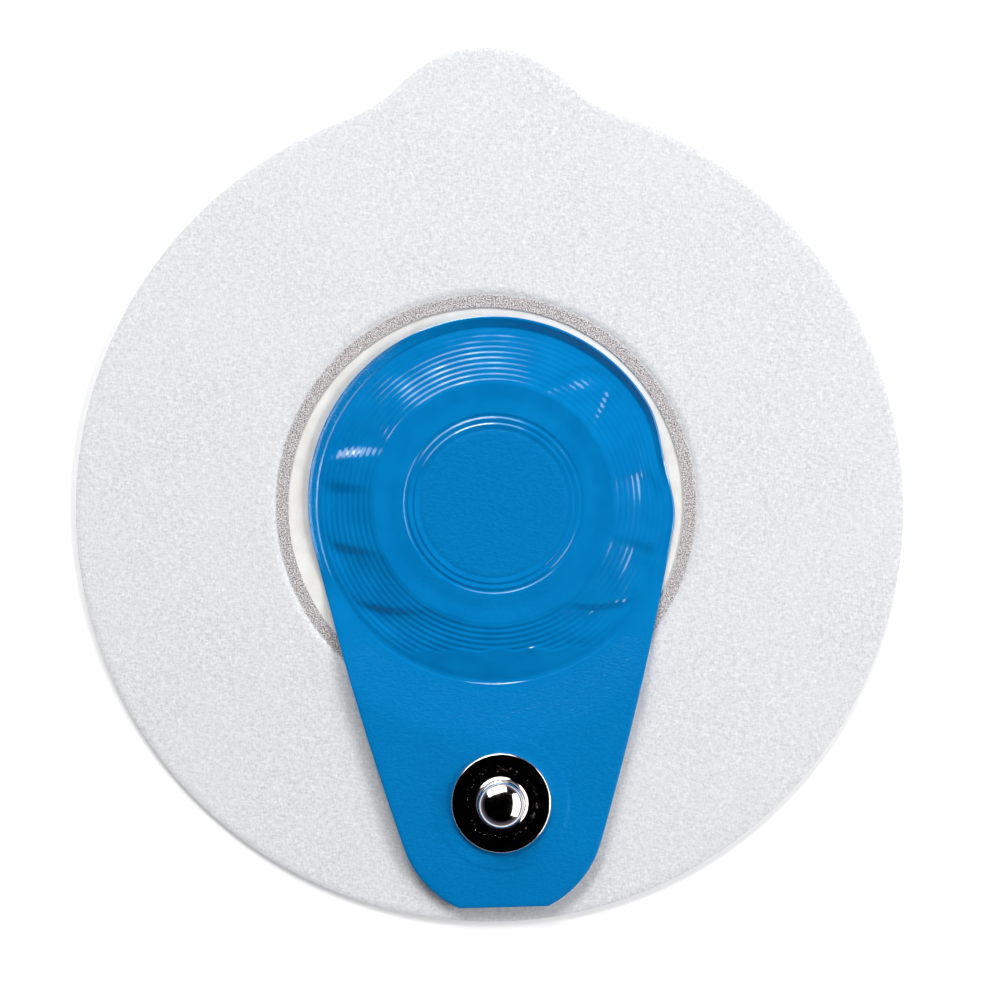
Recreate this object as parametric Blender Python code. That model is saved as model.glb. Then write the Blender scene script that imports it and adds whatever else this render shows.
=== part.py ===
"""Offset snap electrode for heart monitoring, lying skin side down with its stud up.

All sizes below are in millimetres. The origin is the middle of the tape disc on the skin face,
X runs across, Y runs towards the pull tab and Z points up, away from the skin.
"""
import math

import bmesh
import bpy
from mathutils import Vector
from mathutils.geometry import delaunay_2d_cdt

MM = 0.001

# Sides of a full circle, and of the circles about the stud
SEGMENTS = 72
STUD_SEGMENTS = 48
FLANK_PIECES = 8
MERGE_DISTANCE = 1e-5
SMOOTH_ANGLE = 32.0

# Laminated layers keep this glue line between them
BOND = 0.02

# Nonwoven tape disc with its pull tab
TAPE_RADIUS = 34.0
TAPE_THICKNESS = 0.38
ADHESIVE_THICKNESS = 0.04
TAB_RADIUS = 9.45
TAB_PROJECTION = 3.85
TAB_SHIFT = 0.35
TAB_FILLET = 12.0

# Moulded cup that holds the sponge; the chamber's axis is the cup's
CHAMBER = (0.34, 0.35)
CUP_BORE = 9.25
COLLAR_WALL = 0.60
COLLAR_FOOT = 0.50
CUP_FLANGE_MARGIN = 0.90
CUP_FLANGE_THICKNESS = 0.20
CUP_CLEARANCE = 0.10

# Ring where the tape is pressed and welded to the cup
WELD_CENTRE = (-0.28, 0.25)
WELD_BAND = 1.17
WELD_WIDTH = 1.05
WELD_THICKNESS = 0.10
WELD_WALL = 0.12

# Gel sponge and sensor
SPONGE_CLEARANCE = 0.15
SENSOR_RADIUS = 2.03
SENSOR_THICKNESS = 0.25
SENSOR_EDGE = 0.06
SENSOR_CLEARANCE = 0.07

# Conductor strip
CONDUCTOR_WIDTH = 4.0
CONDUCTOR_THICKNESS = 0.05
CONDUCTOR_PAD_MARGIN = 1.0

# Blue film: sheet and rounded end over the chamber
FILM_CENTRE = (0.21, 0.65)
FILM_THICKNESS = 0.16
RIM_WIDTH = 0.63

# Blue film: dome over the chamber, with the ring's steps as (distance inside its edge, height)
DOME_HEIGHT = 1.60
RING_INSET = 1.83
RING_STEPS = (
    (1.67, -0.05),
    (1.37, -0.08),
    (0.94, 0.02),
    (0.79, -0.07),
    (0.43, 0.02),
    (0.30, -0.08),
    (0.17, -0.08),
    (0.00, 0.00),
)
DISH_INSET = 0.65
DISH_DEPTH = 0.08
GROOVE_PITCH = 0.45
GROOVE_COUNT = 10
GROOVE_DEPTH = 0.08
GROOVE_END_Y = -11.7
GROOVE_END_FADE = 0.8
FOOT_WIDTH = 0.10
FOOT_HEIGHT = 0.07

# Blue film: curled rim, with angles in degrees
RIM_RISE = 0.35
RIM_START = 5.0
RIM_END = 200.0
RIM_FADE = 14.0

# Folds across the grooves: directions of the crest, the bottom and the far end, and the depth.
# Their slope and their foot are counted in half pitches of the grooves.
FOLDS = (
    (-44.0, -48.5, -66.0, 0.26),
    (-15.5, -20.0, -42.0, 0.32),
    (12.0, 6.0, -14.0, 0.34),
    (47.0, 42.0, 33.0, 0.10),
    (64.0, 59.0, 49.0, 0.10),
    (130.0, 122.5, 92.0, 0.20),
    (160.5, 155.5, 136.0, 0.34),
    (170.0, 175.0, 194.0, 0.30),
    (195.0, 199.5, 222.0, 0.30),
    (223.0, 228.5, 250.0, 0.28),
)
FOLD_SLOPE_STEPS = 6
FOLD_FOOT_STEPS = 5

# Pushed-in spot of the rim
KINK_ANGLE = 12.5
KINK_HALF_ANGLE = 20.0
KINK_DEPTH = 0.55
KINK_REACH = 2.4

# Flap of the film, free above the tape
FLAP_HALF_ANGLE = 60.0
FLANK_RADIUS = 270.0
FLAP_MARGIN = 3.11
FLAP_END_OFFSET = 0.92
FLAP_CUT_WIDTH = 7.27
SEAL_WIDTH = 0.50
RAMP_WIDTH = 1.35
FLAP_LIFT = 0.03
LINER_THICKNESS = 0.10
FLAP_LEVEL_LENGTH = 0.10
FLAP_RISE_LENGTH = 2.59
FLAP_DROOP = 0.25
STACK_CLEARANCE = 0.17

# Stud, from its flange up to its crown
STUD_X = 0.35
FLANGE_RADIUS = 4.10
FLANGE_THICKNESS = 0.42
HEAD_RADIUS = 1.95
NECK_UNDERCUT = 0.23
NECK_FILLET = 0.55
NECK_LENGTH = 0.95
NECK_BLEND = 0.16
HEAD_UNDER_RADIUS = 0.40
HEAD_UNDER_ANGLE = 50.0
HEAD_LAND = 0.27
SHOULDER_RADIUS = 0.50
SHOULDER_ANGLE = 60.0
CROWN_RADIUS = 2.60
SHELL_THICKNESS = 0.22
NECK_WALL = 0.30

# Eyelet and washer
EYELET_FLANGE_RADIUS = 3.0
EYELET_THICKNESS = 0.20
BARREL_CLEARANCE = 0.22
BARREL_WALL = 0.22
LIP_GRIP = 0.15
LIP_THICKNESS = 0.15
HOLE_CLEARANCE = 0.10
WASHER_MARGIN = 1.25
WASHER_THICKNESS = 0.25
STACK_MARGIN = 0.15
STACK_RAMP = 0.40

# Heights that follow from the layers, from the skin up
TAPE_BOTTOM = ADHESIVE_THICKNESS + BOND
TAPE_TOP = TAPE_BOTTOM + TAPE_THICKNESS
WELD_BOTTOM = CUP_FLANGE_THICKNESS + BOND
SEAT_BOTTOM = CUP_FLANGE_THICKNESS + CONDUCTOR_THICKNESS + 2 * BOND
SEAT_TOP = SEAT_BOTTOM + FILM_THICKNESS
STRIP_TOP = DOME_HEIGHT - DISH_DEPTH - FILM_THICKNESS - BOND
STRIP_BOTTOM = STRIP_TOP - CONDUCTOR_THICKNESS
CUP_TOP = STRIP_BOTTOM - BOND
SENSOR_TOP = STRIP_BOTTOM - BOND
LINER_GAP = CONDUCTOR_THICKNESS + 2 * BOND
WASHER_GAP = LINER_GAP + WASHER_THICKNESS + BOND
EYELET_GAP = WASHER_GAP + EYELET_THICKNESS + BOND
FLAP_LOW = TAPE_TOP + FLAP_LIFT + LINER_THICKNESS + LINER_GAP + FILM_THICKNESS
STUD_LEVEL = TAPE_TOP + STACK_CLEARANCE + LINER_THICKNESS + EYELET_GAP + FILM_THICKNESS
FLANGE_BOTTOM = STUD_LEVEL + BOND
FLANGE_TOP = FLANGE_BOTTOM + FLANGE_THICKNESS
NECK_TOP = FLANGE_TOP + NECK_LENGTH

# Radii about the chamber's axis, from the middle out
RING_EDGE = CUP_BORE - RING_INSET
DISH_RADIUS = CUP_BORE - DISH_INSET
GROOVE_INNER = CUP_BORE + COLLAR_WALL
GROOVE_OUTER = GROOVE_INNER + GROOVE_COUNT * GROOVE_PITCH
FOLD_INNER = GROOVE_INNER + 0.5 * FOLD_SLOPE_STEPS * GROOVE_PITCH
FOLD_OUTER = GROOVE_OUTER - 0.5 * FOLD_FOOT_STEPS * GROOVE_PITCH
SEAT_RADIUS = GROOVE_OUTER + FOOT_WIDTH
SEAL_RADIUS = SEAT_RADIUS + SEAL_WIDTH
FLAP_RADIUS = SEAL_RADIUS + RAMP_WIDTH
FILM_RADIUS = SEAT_RADIUS + RIM_WIDTH
WELD_INNER = FILM_RADIUS + WELD_BAND
WELD_OUTER = WELD_INNER + WELD_WIDTH
CUP_FLANGE_RADIUS = WELD_OUTER + CUP_FLANGE_MARGIN
FLANGE_EDGE = CUP_FLANGE_RADIUS + 0.5 * CUP_CLEARANCE

# Radii about the stud's axis, and the stud's place beyond the chamber
CONDUCTOR_PAD = 0.5 * CONDUCTOR_WIDTH + CONDUCTOR_PAD_MARGIN
NECK_RADIUS = HEAD_RADIUS - NECK_UNDERCUT
STUD_BORE = NECK_RADIUS - NECK_WALL
BARREL_RADIUS = STUD_BORE - BARREL_CLEARANCE
HOLE_RADIUS = BARREL_RADIUS + HOLE_CLEARANCE
WASHER_RADIUS = FLANGE_RADIUS + WASHER_MARGIN
STACK_FLAT = WASHER_RADIUS + STACK_MARGIN
STACK_OUTER = STACK_FLAT + STACK_RAMP
EYELET_FLAT = EYELET_FLANGE_RADIUS + STACK_MARGIN
EYELET_OUTER = EYELET_FLAT + STACK_RAMP
FLAP_END_RADIUS = WASHER_RADIUS + FLAP_MARGIN
RISE_START = CHAMBER[1] - FLAP_RADIUS - FLAP_LEVEL_LENGTH
RISE_END = RISE_START - FLAP_RISE_LENGTH
STUD_CENTRE = (STUD_X, RISE_END - STACK_FLAT)
FLAP_END_CENTRE = (STUD_X, STUD_CENTRE[1] - FLAP_END_OFFSET)
FLAP_CUT_Y = FLAP_END_CENTRE[1] - math.sqrt(FLAP_END_RADIUS ** 2 - (0.5 * FLAP_CUT_WIDTH) ** 2)


def clear_scene():
    """Removes whatever the file holds."""
    for item in list(bpy.data.objects):
        bpy.data.objects.remove(item, do_unlink=True)


def material(name, colour, roughness, metallic=0.0):
    """A plain Principled material."""
    made = bpy.data.materials.new(name)
    made.use_nodes = True
    shader = made.node_tree.nodes["Principled BSDF"]
    shader.inputs["Base Color"].default_value = (*colour, 1.0)
    shader.inputs["Roughness"].default_value = roughness
    shader.inputs["Metallic"].default_value = metallic
    made.diffuse_color = (*colour, 1.0)
    return made


def nonwoven_material():
    return material("nonwoven_white", (0.80, 0.82, 0.86), 0.9)


def adhesive_material():
    return material("clear_adhesive", (0.86, 0.85, 0.80), 0.25)


def cup_material():
    return material("cream_plastic", (0.87, 0.84, 0.76), 0.5)


def sponge_material():
    return material("gel_foam", (0.88, 0.89, 0.90), 0.35)


def sensor_material():
    return material("silver_chloride", (0.48, 0.46, 0.45), 0.6, 0.3)


def strip_material():
    return material("carbon_film", (0.04, 0.04, 0.045), 0.5)


def film_material():
    return material("blue_film", (0.003, 0.21, 0.55), 0.3)


def liner_material():
    return material("clear_film", (0.75, 0.78, 0.82), 0.35)


def steel_material(name):
    return material(name, (0.70, 0.68, 0.66), 0.12, 1.0)


def washer_material():
    return material("washer_card", (0.72, 0.70, 0.64), 0.7)


def distance(x, y, centre):
    return math.hypot(x - centre[0], y - centre[1])


def angle_from(x, y, centre):
    """Direction from a centre in degrees, 0 towards +X and 90 towards the tab."""
    return math.degrees(math.atan2(y - centre[1], x - centre[0]))


def ramp(value, start, end):
    """0 before start, 1 after end, straight between."""
    return min(1.0, max(0.0, (value - start) / (end - start)))


def hump(value, half_width):
    """1 at 0, falling to 0 at the half width with a rounded foot."""
    if abs(value) >= half_width:
        return 0.0
    return 0.5 + 0.5 * math.cos(math.pi * value / half_width)


def turn_gap(angle, target):
    """Smallest turn between two directions, in degrees."""
    return abs((angle - target + 180.0) % 360.0 - 180.0)


def profile_height(value, profile):
    """Height on a list of (place, height) pairs, straight between them."""
    if value <= profile[0][0]:
        return profile[0][1]
    for (start, low), (end, high) in zip(profile, profile[1:]):
        if value <= end:
            return low + (high - low) * (value - start) / (end - start)
    return profile[-1][1]


def arc(centre, radius, start, end, count=None):
    """Points on a circle from start to end in degrees, both ends included."""
    if count is None:
        count = math.ceil(abs(end - start) * SEGMENTS / 360.0)
    points = []
    for step in range(count + 1):
        turn = math.radians(start + (end - start) * step / count)
        points.append((centre[0] + radius * math.cos(turn), centre[1] + radius * math.sin(turn)))
    return points


def circle(centre, radius, segments=SEGMENTS):
    """A closed ring of points, its last point beside the first."""
    return arc(centre, radius, 0.0, 360.0, segments)[:-1]


def circles_meet(first, first_radius, second, second_radius, side):
    """Where two circles cross: side +1 is to the left when looking from first to second."""
    across = (second[0] - first[0], second[1] - first[1])
    gap = math.hypot(*across)
    along = (gap ** 2 + first_radius ** 2 - second_radius ** 2) / (2.0 * gap)
    off = side * math.sqrt(first_radius ** 2 - along ** 2)
    unit = (across[0] / gap, across[1] / gap)
    return (first[0] + unit[0] * along - unit[1] * off, first[1] + unit[1] * along + unit[0] * off)


def tape_outline():
    """Disc with a round tab at +Y, joined by hollow fillets."""
    middle = (0.0, 0.0)
    tab = (TAB_SHIFT, TAPE_RADIUS + TAB_PROJECTION - TAB_RADIUS)
    right = circles_meet(middle, TAPE_RADIUS + TAB_FILLET, tab, TAB_RADIUS + TAB_FILLET, -1)
    left = circles_meet(middle, TAPE_RADIUS + TAB_FILLET, tab, TAB_RADIUS + TAB_FILLET, 1)
    right_foot = angle_from(*right, middle)
    left_foot = angle_from(*left, middle)
    right_cap = angle_from(*right, tab)
    left_cap = angle_from(*left, tab)
    points = arc(middle, TAPE_RADIUS, left_foot, right_foot + 360.0)
    points += arc(right, TAB_FILLET, right_foot + 180.0, right_cap + 180.0)[1:]
    points += arc(tab, TAB_RADIUS, right_cap, left_cap)[1:]
    points += arc(left, TAB_FILLET, left_cap - 180.0, left_foot - 180.0)[1:-1]
    return points


def film_outline():
    """Round over the chamber, drawn in to the stud, with its end cut straight."""
    hulls = []
    for side in (-1, 1):
        hulls.append(circles_meet(FILM_CENTRE, FLANK_RADIUS - FILM_RADIUS,
                                  FLAP_END_CENTRE, FLANK_RADIUS - FLAP_END_RADIUS, side))
    left, right = sorted(hulls, reverse=True)
    left_top = angle_from(*FILM_CENTRE, left) + 360.0
    left_low = angle_from(*FLAP_END_CENTRE, left) + 360.0
    right_top = angle_from(*FILM_CENTRE, right)
    right_low = angle_from(*FLAP_END_CENTRE, right)
    cut = math.degrees(math.acos(0.5 * FLAP_CUT_WIDTH / FLAP_END_RADIUS))
    points = arc(FILM_CENTRE, FILM_RADIUS, right_top, left_top)
    points += arc(left, FLANK_RADIUS, left_top, left_low, FLANK_PIECES)[1:]
    points += arc(FLAP_END_CENTRE, FLAP_END_RADIUS, left_low, 180.0 + cut)[1:]
    points += arc(FLAP_END_CENTRE, FLAP_END_RADIUS, 360.0 - cut, right_low + 360.0)
    points += arc(right, FLANK_RADIUS, right_low, right_top, FLANK_PIECES)[1:-1]
    return points


def inside(point, loop):
    """Whether a point lies in a closed outline."""
    x, y = point
    within = False
    for (ax, ay), (bx, by) in zip(loop, loop[1:] + loop[:1]):
        if (ay > y) != (by > y) and x < ax + (bx - ax) * (y - ay) / (by - ay):
            within = not within
    return within


def triangulate(outline, holes, rings, lines):
    """Splits a flat outline with holes into triangles whose edges follow the rings and lines."""
    points = []
    edges = []
    for loop in [outline, *holes, *rings]:
        first = len(points)
        points.extend(Vector(point) for point in loop)
        edges.extend((first + step, first + (step + 1) % len(loop)) for step in range(len(loop)))
    for line in lines:
        first = len(points)
        points.extend(Vector(point) for point in line)
        edges.extend((first + step, first + step + 1) for step in range(len(line) - 1))
    found, _, faces, *_ = delaunay_2d_cdt(points, edges, [], 0, MERGE_DISTANCE)
    kept = []
    for face in faces:
        middle = sum((found[index] for index in face), Vector((0.0, 0.0))) / len(face)
        if inside(middle, outline) and not any(inside(middle, hole) for hole in holes):
            kept.append(face)
    return found, kept


def add_sheet(mesh, flat, height, place, upward):
    """Adds one face of a plate to a mesh and gives its vertices."""
    points, faces = flat
    made = {}
    for face in faces:
        for index in face:
            if index not in made:
                x, y = points[index]
                px, py = place(x, y)
                made[index] = mesh.verts.new((px * MM, py * MM, height(x, y, px, py) * MM))
        corners = [made[index] for index in face]
        mesh.faces.new(corners if upward else corners[::-1])
    return made


def rim_edges(faces):
    """Directed edges that only one triangle uses."""
    seen = set()
    for face in faces:
        for start, end in zip(face, [*face[1:], face[0]]):
            if (end, start) in seen:
                seen.remove((end, start))
            else:
                seen.add((start, end))
    return seen


def stay(x, y):
    """The plate keeps its flat outline."""
    return x, y


def plate(name, finish, outline, holes, top, bottom, shared=(), lines=(), extra=(), place=stay):
    """Closed plate between two height functions.

    Shared rings and lines shape both faces, extra rings only the upper one.
    """
    upper = triangulate(outline, holes, [*shared, *extra], lines)
    lower = triangulate(outline, holes, shared, lines)
    mesh = bmesh.new()
    high = add_sheet(mesh, upper, top, place, True)
    low = add_sheet(mesh, lower, bottom, place, False)
    low_rim = {index for edge in rim_edges(lower[1]) for index in edge}

    def below(index):
        spot = upper[0][index]
        return low[min(low_rim, key=lambda other: (lower[0][other] - spot).length)]

    for start, end in rim_edges(upper[1]):
        mesh.faces.new((high[end], high[start], below(start), below(end)))
    return finished(name, mesh, finish)


def turned(name, finish, centre, outline, segments=SEGMENTS):
    """Solid turned about an upright axis from a closed outline of (radius, height) points."""
    mesh = bmesh.new()
    rings = []
    for radius, height in outline:
        if radius == 0.0:
            rings.append([mesh.verts.new((centre[0] * MM, centre[1] * MM, height * MM))] * segments)
        else:
            spots = circle(centre, radius, segments)
            rings.append([mesh.verts.new((x * MM, y * MM, height * MM)) for x, y in spots])
    for near, far in zip(rings, rings[1:] + rings[:1]):
        for step in range(segments):
            after = (step + 1) % segments
            corners = [near[step], near[after], far[after], far[step]]
            corners = list(dict.fromkeys(corners))
            if len(corners) > 2:
                mesh.faces.new(corners)
    return finished(name, mesh, finish)


def finished(name, mesh, finish):
    """Turns the working mesh into a named object with its material."""
    bmesh.ops.recalc_face_normals(mesh, faces=mesh.faces)
    data = bpy.data.meshes.new(name)
    mesh.to_mesh(data)
    mesh.free()
    data.materials.append(finish)
    data.shade_smooth()
    data.set_sharp_from_angle(angle=math.radians(SMOOTH_ANGLE))
    made = bpy.data.objects.new(name, data)
    bpy.context.collection.objects.link(made)
    return made


def fold(radius, angle):
    """How far the film's folds lower it: each drops from its crest and comes up again slowly."""
    deepest = 0.0
    for crest, bottom, far, depth in FOLDS:
        side = math.copysign(1.0, bottom - crest)
        past = ((angle - crest + 180.0) % 360.0 - 180.0) * side
        fall = ramp(past, 0.0, abs(bottom - crest))
        back = ramp(past, abs(bottom - crest), abs(far - crest))
        deepest = max(deepest, depth * (fall - back))
    return deepest * (ramp(radius, GROOVE_INNER, FOLD_INNER) - ramp(radius, FOLD_OUTER, GROOVE_OUTER))


def kink(radius, angle):
    """How far the rim is pushed inwards."""
    depth = KINK_DEPTH * hump(turn_gap(angle, KINK_ANGLE), KINK_HALF_ANGLE)
    return depth * ramp(radius, GROOVE_OUTER - KINK_REACH, GROOVE_OUTER)


def film_place(x, y):
    """Moves a point of the flat film to where the pushed-in rim leaves it."""
    radius = distance(x, y, CHAMBER)
    if radius == 0.0:
        return x, y
    inward = kink(radius, angle_from(x, y, CHAMBER))
    share = (radius - inward) / radius
    return CHAMBER[0] + (x - CHAMBER[0]) * share, CHAMBER[1] + (y - CHAMBER[1]) * share


def dome_profile():
    """Upper face of the film over the chamber without grooves, by radius."""
    return (
        *[(RING_EDGE - inset, DOME_HEIGHT + height) for inset, height in RING_STEPS],
        (DISH_RADIUS, DOME_HEIGHT - DISH_DEPTH),
        (GROOVE_INNER, DOME_HEIGHT),
        (GROOVE_OUTER, SEAT_TOP + FOOT_HEIGHT),
        (SEAT_RADIUS, SEAT_TOP),
    )


def groove(radius, y):
    """Height that the grooves add or take, level at both ends of their zone."""
    if radius <= GROOVE_INNER or radius >= GROOVE_OUTER:
        return 0.0
    phase = ((radius - GROOVE_INNER) / GROOVE_PITCH) % 1.0
    wave = 1.0 - 2.0 * abs(2.0 * phase - 1.0)
    return 0.5 * GROOVE_DEPTH * wave * ramp(y, GROOVE_END_Y, GROOVE_END_Y + GROOVE_END_FADE)


def rim_lift(radius, angle):
    """How far the free rim of the film has curled up."""
    turn = turn_gap(angle, 0.5 * (RIM_START + RIM_END))
    half = 0.5 * (RIM_END - RIM_START)
    share = 1.0 - ramp(turn, half - RIM_FADE, half)
    return RIM_RISE * share * ramp(radius, SEAT_RADIUS, FILM_RADIUS)


def flap_profile():
    """Upper face of the film along the flap, by the distance towards its cut end."""
    third = FLAP_RISE_LENGTH / 3.0
    quarter = 0.25 * (STUD_LEVEL - FLAP_LOW)
    return (
        (-RISE_START, FLAP_LOW),
        (-RISE_START + third, FLAP_LOW + quarter),
        (-RISE_END - third, STUD_LEVEL - quarter),
        (-RISE_END, STUD_LEVEL),
        (-STUD_CENTRE[1] + STACK_FLAT, STUD_LEVEL),
        (-FLAP_CUT_Y, STUD_LEVEL - FLAP_DROOP),
    )


def film_level(x, y, px, py):
    """Upper face of the film without its grooves."""
    radius = distance(px, py, CHAMBER)
    angle = angle_from(x, y, CHAMBER)
    if radius <= SEAT_RADIUS:
        return profile_height(radius, dome_profile()) - fold(radius, angle)
    if turn_gap(angle, 270.0) < FLAP_HALF_ANGLE:
        share = ramp(radius, SEAL_RADIUS, FLAP_RADIUS)
        return SEAT_TOP + share * (profile_height(-y, flap_profile()) - SEAT_TOP)
    return SEAT_TOP + rim_lift(distance(x, y, CHAMBER), angle)


def film_top(x, y, px, py):
    return film_level(x, y, px, py) + groove(distance(x, y, CHAMBER), y)


def film_bottom(x, y, px, py):
    return film_level(x, y, px, py) - FILM_THICKNESS


def flap_arc(radius):
    """The part of a ring about the chamber that crosses the flap."""
    return arc(CHAMBER, radius, 270.0 - FLAP_HALF_ANGLE, 270.0 + FLAP_HALF_ANGLE)


def flap_lines():
    """Creases straight across the flap, where its rise and its droop begin and end."""
    reach = 2.0 * FLAP_END_RADIUS
    return [[(-reach, -place), (reach, -place)] for place, _ in flap_profile()[:-1]]


def top_film():
    dome_rings = [circle(CHAMBER, radius) for radius, _ in dome_profile()]
    centre_ring = circle(CHAMBER, 0.5 * RING_EDGE)
    fold_rings = [circle(CHAMBER, radius) for radius in (FOLD_INNER, FOLD_OUTER)]
    fold_steps = (FOLD_SLOPE_STEPS, 2 * GROOVE_COUNT - FOLD_FOOT_STEPS)
    groove_steps = [step for step in range(1, 2 * GROOVE_COUNT) if step not in fold_steps]
    grooves = [circle(CHAMBER, GROOVE_INNER + 0.5 * step * GROOVE_PITCH) for step in groove_steps]
    hole = circle(STUD_CENTRE, HOLE_RADIUS, STUD_SEGMENTS)
    lines = [*flap_lines(), flap_arc(SEAL_RADIUS), flap_arc(FLAP_RADIUS)]
    return plate("top_film", film_material(), film_outline(), [hole], film_top, film_bottom,
                 shared=[centre_ring, *dome_rings, *fold_rings], lines=lines, extra=grooves,
                 place=film_place)


def stack_profile():
    """How far the liner lies below the film, by radius: more under the washer and the eyelet."""
    return (
        (EYELET_FLAT, EYELET_GAP),
        (EYELET_OUTER, WASHER_GAP),
        (STACK_FLAT, WASHER_GAP),
        (STACK_OUTER, LINER_GAP),
    )


def liner_top(x, y, px, py):
    gap = profile_height(distance(x, y, STUD_CENTRE), stack_profile())
    return film_bottom(x, y, px, py) - gap


def liner_bottom(x, y, px, py):
    return liner_top(x, y, px, py) - LINER_THICKNESS


def liner_outline():
    """The film's outline where it lies beyond the chamber."""
    flap = [spot for spot in film_outline()
            if distance(*spot, CHAMBER) > FLAP_RADIUS and spot[1] < CHAMBER[1]]
    start = angle_from(*flap[0], CHAMBER) + 360.0
    end = angle_from(*flap[-1], CHAMBER) + 360.0
    return flap + arc(CHAMBER, FLAP_RADIUS, end, start)[1:-1]


def flap_liner():
    steps = [circle(STUD_CENTRE, radius, STUD_SEGMENTS) for radius, _ in stack_profile()]
    return plate("flap_liner", liner_material(), liner_outline(), [], liner_top, liner_bottom,
                 shared=steps, lines=flap_lines())


def strip_bottom(x, y, px, py):
    """Lower face of the conductor from the sensor, over the cup and into the flap."""
    radius = distance(x, y, CHAMBER)
    if radius <= SEAL_RADIUS or y > CHAMBER[1]:
        seat = CUP_FLANGE_THICKNESS + BOND
        return profile_height(radius, ((GROOVE_INNER, STRIP_BOTTOM), (SEAT_RADIUS, seat)))
    washer_room = WASHER_THICKNESS + BOND
    lowered = profile_height(distance(x, y, STUD_CENTRE), ((STACK_FLAT, washer_room), (STACK_OUTER, 0.0)))
    return film_level(x, y, x, y) - FILM_THICKNESS - BOND - CONDUCTOR_THICKNESS - lowered


def strip_top(x, y, px, py):
    return strip_bottom(x, y, px, py) + CONDUCTOR_THICKNESS


def strip_outline():
    """Straight strip with a round end over the sensor and a wider pad around the stud."""
    half = 0.5 * CONDUCTOR_WIDTH
    neck = math.degrees(math.asin(half / CONDUCTOR_PAD))
    points = arc(CHAMBER, half, 0.0, 180.0, STUD_SEGMENTS // 4)
    points += arc(STUD_CENTRE, CONDUCTOR_PAD, 90.0 + neck, 450.0 - neck, STUD_SEGMENTS // 2)
    return points


def conductor_strip():
    hole = circle(STUD_CENTRE, HOLE_RADIUS, STUD_SEGMENTS)
    arcs = [flap_arc(radius) for radius in (GROOVE_INNER, SEAT_RADIUS, SEAL_RADIUS, FLAP_RADIUS)]
    rings = [circle(STUD_CENTRE, radius, STUD_SEGMENTS) for radius in (STACK_FLAT, STACK_OUTER)]
    return plate("conductor_strip", strip_material(), strip_outline(), [hole], strip_top, strip_bottom,
                 lines=[*flap_lines(), *arcs, *[ring + ring[:1] for ring in rings]])


def tape_top(x, y, px, py):
    """Upper face of the tape: flat, and pressed down in the weld ring."""
    pressed = WELD_BOTTOM + WELD_THICKNESS
    radius = distance(x, y, WELD_CENTRE)
    return profile_height(radius, ((WELD_OUTER, pressed), (WELD_OUTER + WELD_WALL, TAPE_TOP)))


def tape_bottom(x, y, px, py):
    """Lower face of the tape: it lies on the cup's flange, and on the skin outside it."""
    radius = distance(x, y, CHAMBER)
    steps = ((FLANGE_EDGE, WELD_BOTTOM), (FLANGE_EDGE + CUP_CLEARANCE, TAPE_BOTTOM))
    return profile_height(radius, steps)


def backing_tape():
    shared = [circle(CHAMBER, FLANGE_EDGE), circle(CHAMBER, FLANGE_EDGE + CUP_CLEARANCE)]
    extra = [circle(WELD_CENTRE, WELD_OUTER), circle(WELD_CENTRE, WELD_OUTER + WELD_WALL)]
    return plate("backing_tape", nonwoven_material(), tape_outline(), [circle(WELD_CENTRE, WELD_INNER)],
                 tape_top, tape_bottom, shared=shared, extra=extra)


def adhesive_top(x, y, px, py):
    return ADHESIVE_THICKNESS


def skin_face(x, y, px, py):
    return 0.0


def skin_adhesive():
    hole = circle(CHAMBER, CUP_FLANGE_RADIUS + CUP_CLEARANCE)
    return plate("skin_adhesive", adhesive_material(), tape_outline(), [hole], adhesive_top, skin_face)


def gel_cup():
    """Ring with a thin flange and a collar that the dome of the film spans."""
    outline = (
        (CUP_BORE, 0.0),
        (CUP_FLANGE_RADIUS, 0.0),
        (CUP_FLANGE_RADIUS, CUP_FLANGE_THICKNESS),
        (GROOVE_INNER + COLLAR_FOOT, CUP_FLANGE_THICKNESS),
        (GROOVE_INNER, CUP_TOP),
        (CUP_BORE, CUP_TOP),
    )
    return turned("gel_cup", cup_material(), CHAMBER, outline)


def gel_sponge():
    """Foam disc with the dimple that the sensor presses into it."""
    radius = CUP_BORE - SPONGE_CLEARANCE
    dimple = SENSOR_RADIUS + SENSOR_CLEARANCE
    floor = SENSOR_TOP - SENSOR_THICKNESS - BOND
    top = SENSOR_TOP - BOND
    outline = ((0.0, 0.0), (radius, 0.0), (radius, top), (dimple + SENSOR_CLEARANCE, top),
               (dimple, floor), (0.0, floor))
    return turned("gel_sponge", sponge_material(), CHAMBER, outline)


def sensor_disc():
    low = SENSOR_TOP - SENSOR_THICKNESS
    flat = SENSOR_RADIUS - SENSOR_EDGE
    outline = ((0.0, low), (flat, low), (SENSOR_RADIUS, low + SENSOR_EDGE),
               (SENSOR_RADIUS, SENSOR_TOP - SENSOR_EDGE), (flat, SENSOR_TOP), (0.0, SENSOR_TOP))
    return turned("sensor_disc", sensor_material(), CHAMBER, outline, STUD_SEGMENTS)


def head_heights():
    """Heights of the head: middle of its underside's arc, top of its land, and crown."""
    under = NECK_TOP + NECK_BLEND + HEAD_UNDER_RADIUS * math.sin(math.radians(HEAD_UNDER_ANGLE))
    land = under + HEAD_LAND
    crown_width = HEAD_RADIUS - SHOULDER_RADIUS
    drop = CROWN_RADIUS - math.sqrt(CROWN_RADIUS ** 2 - crown_width ** 2)
    return under, land, land + SHOULDER_RADIUS + drop


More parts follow.
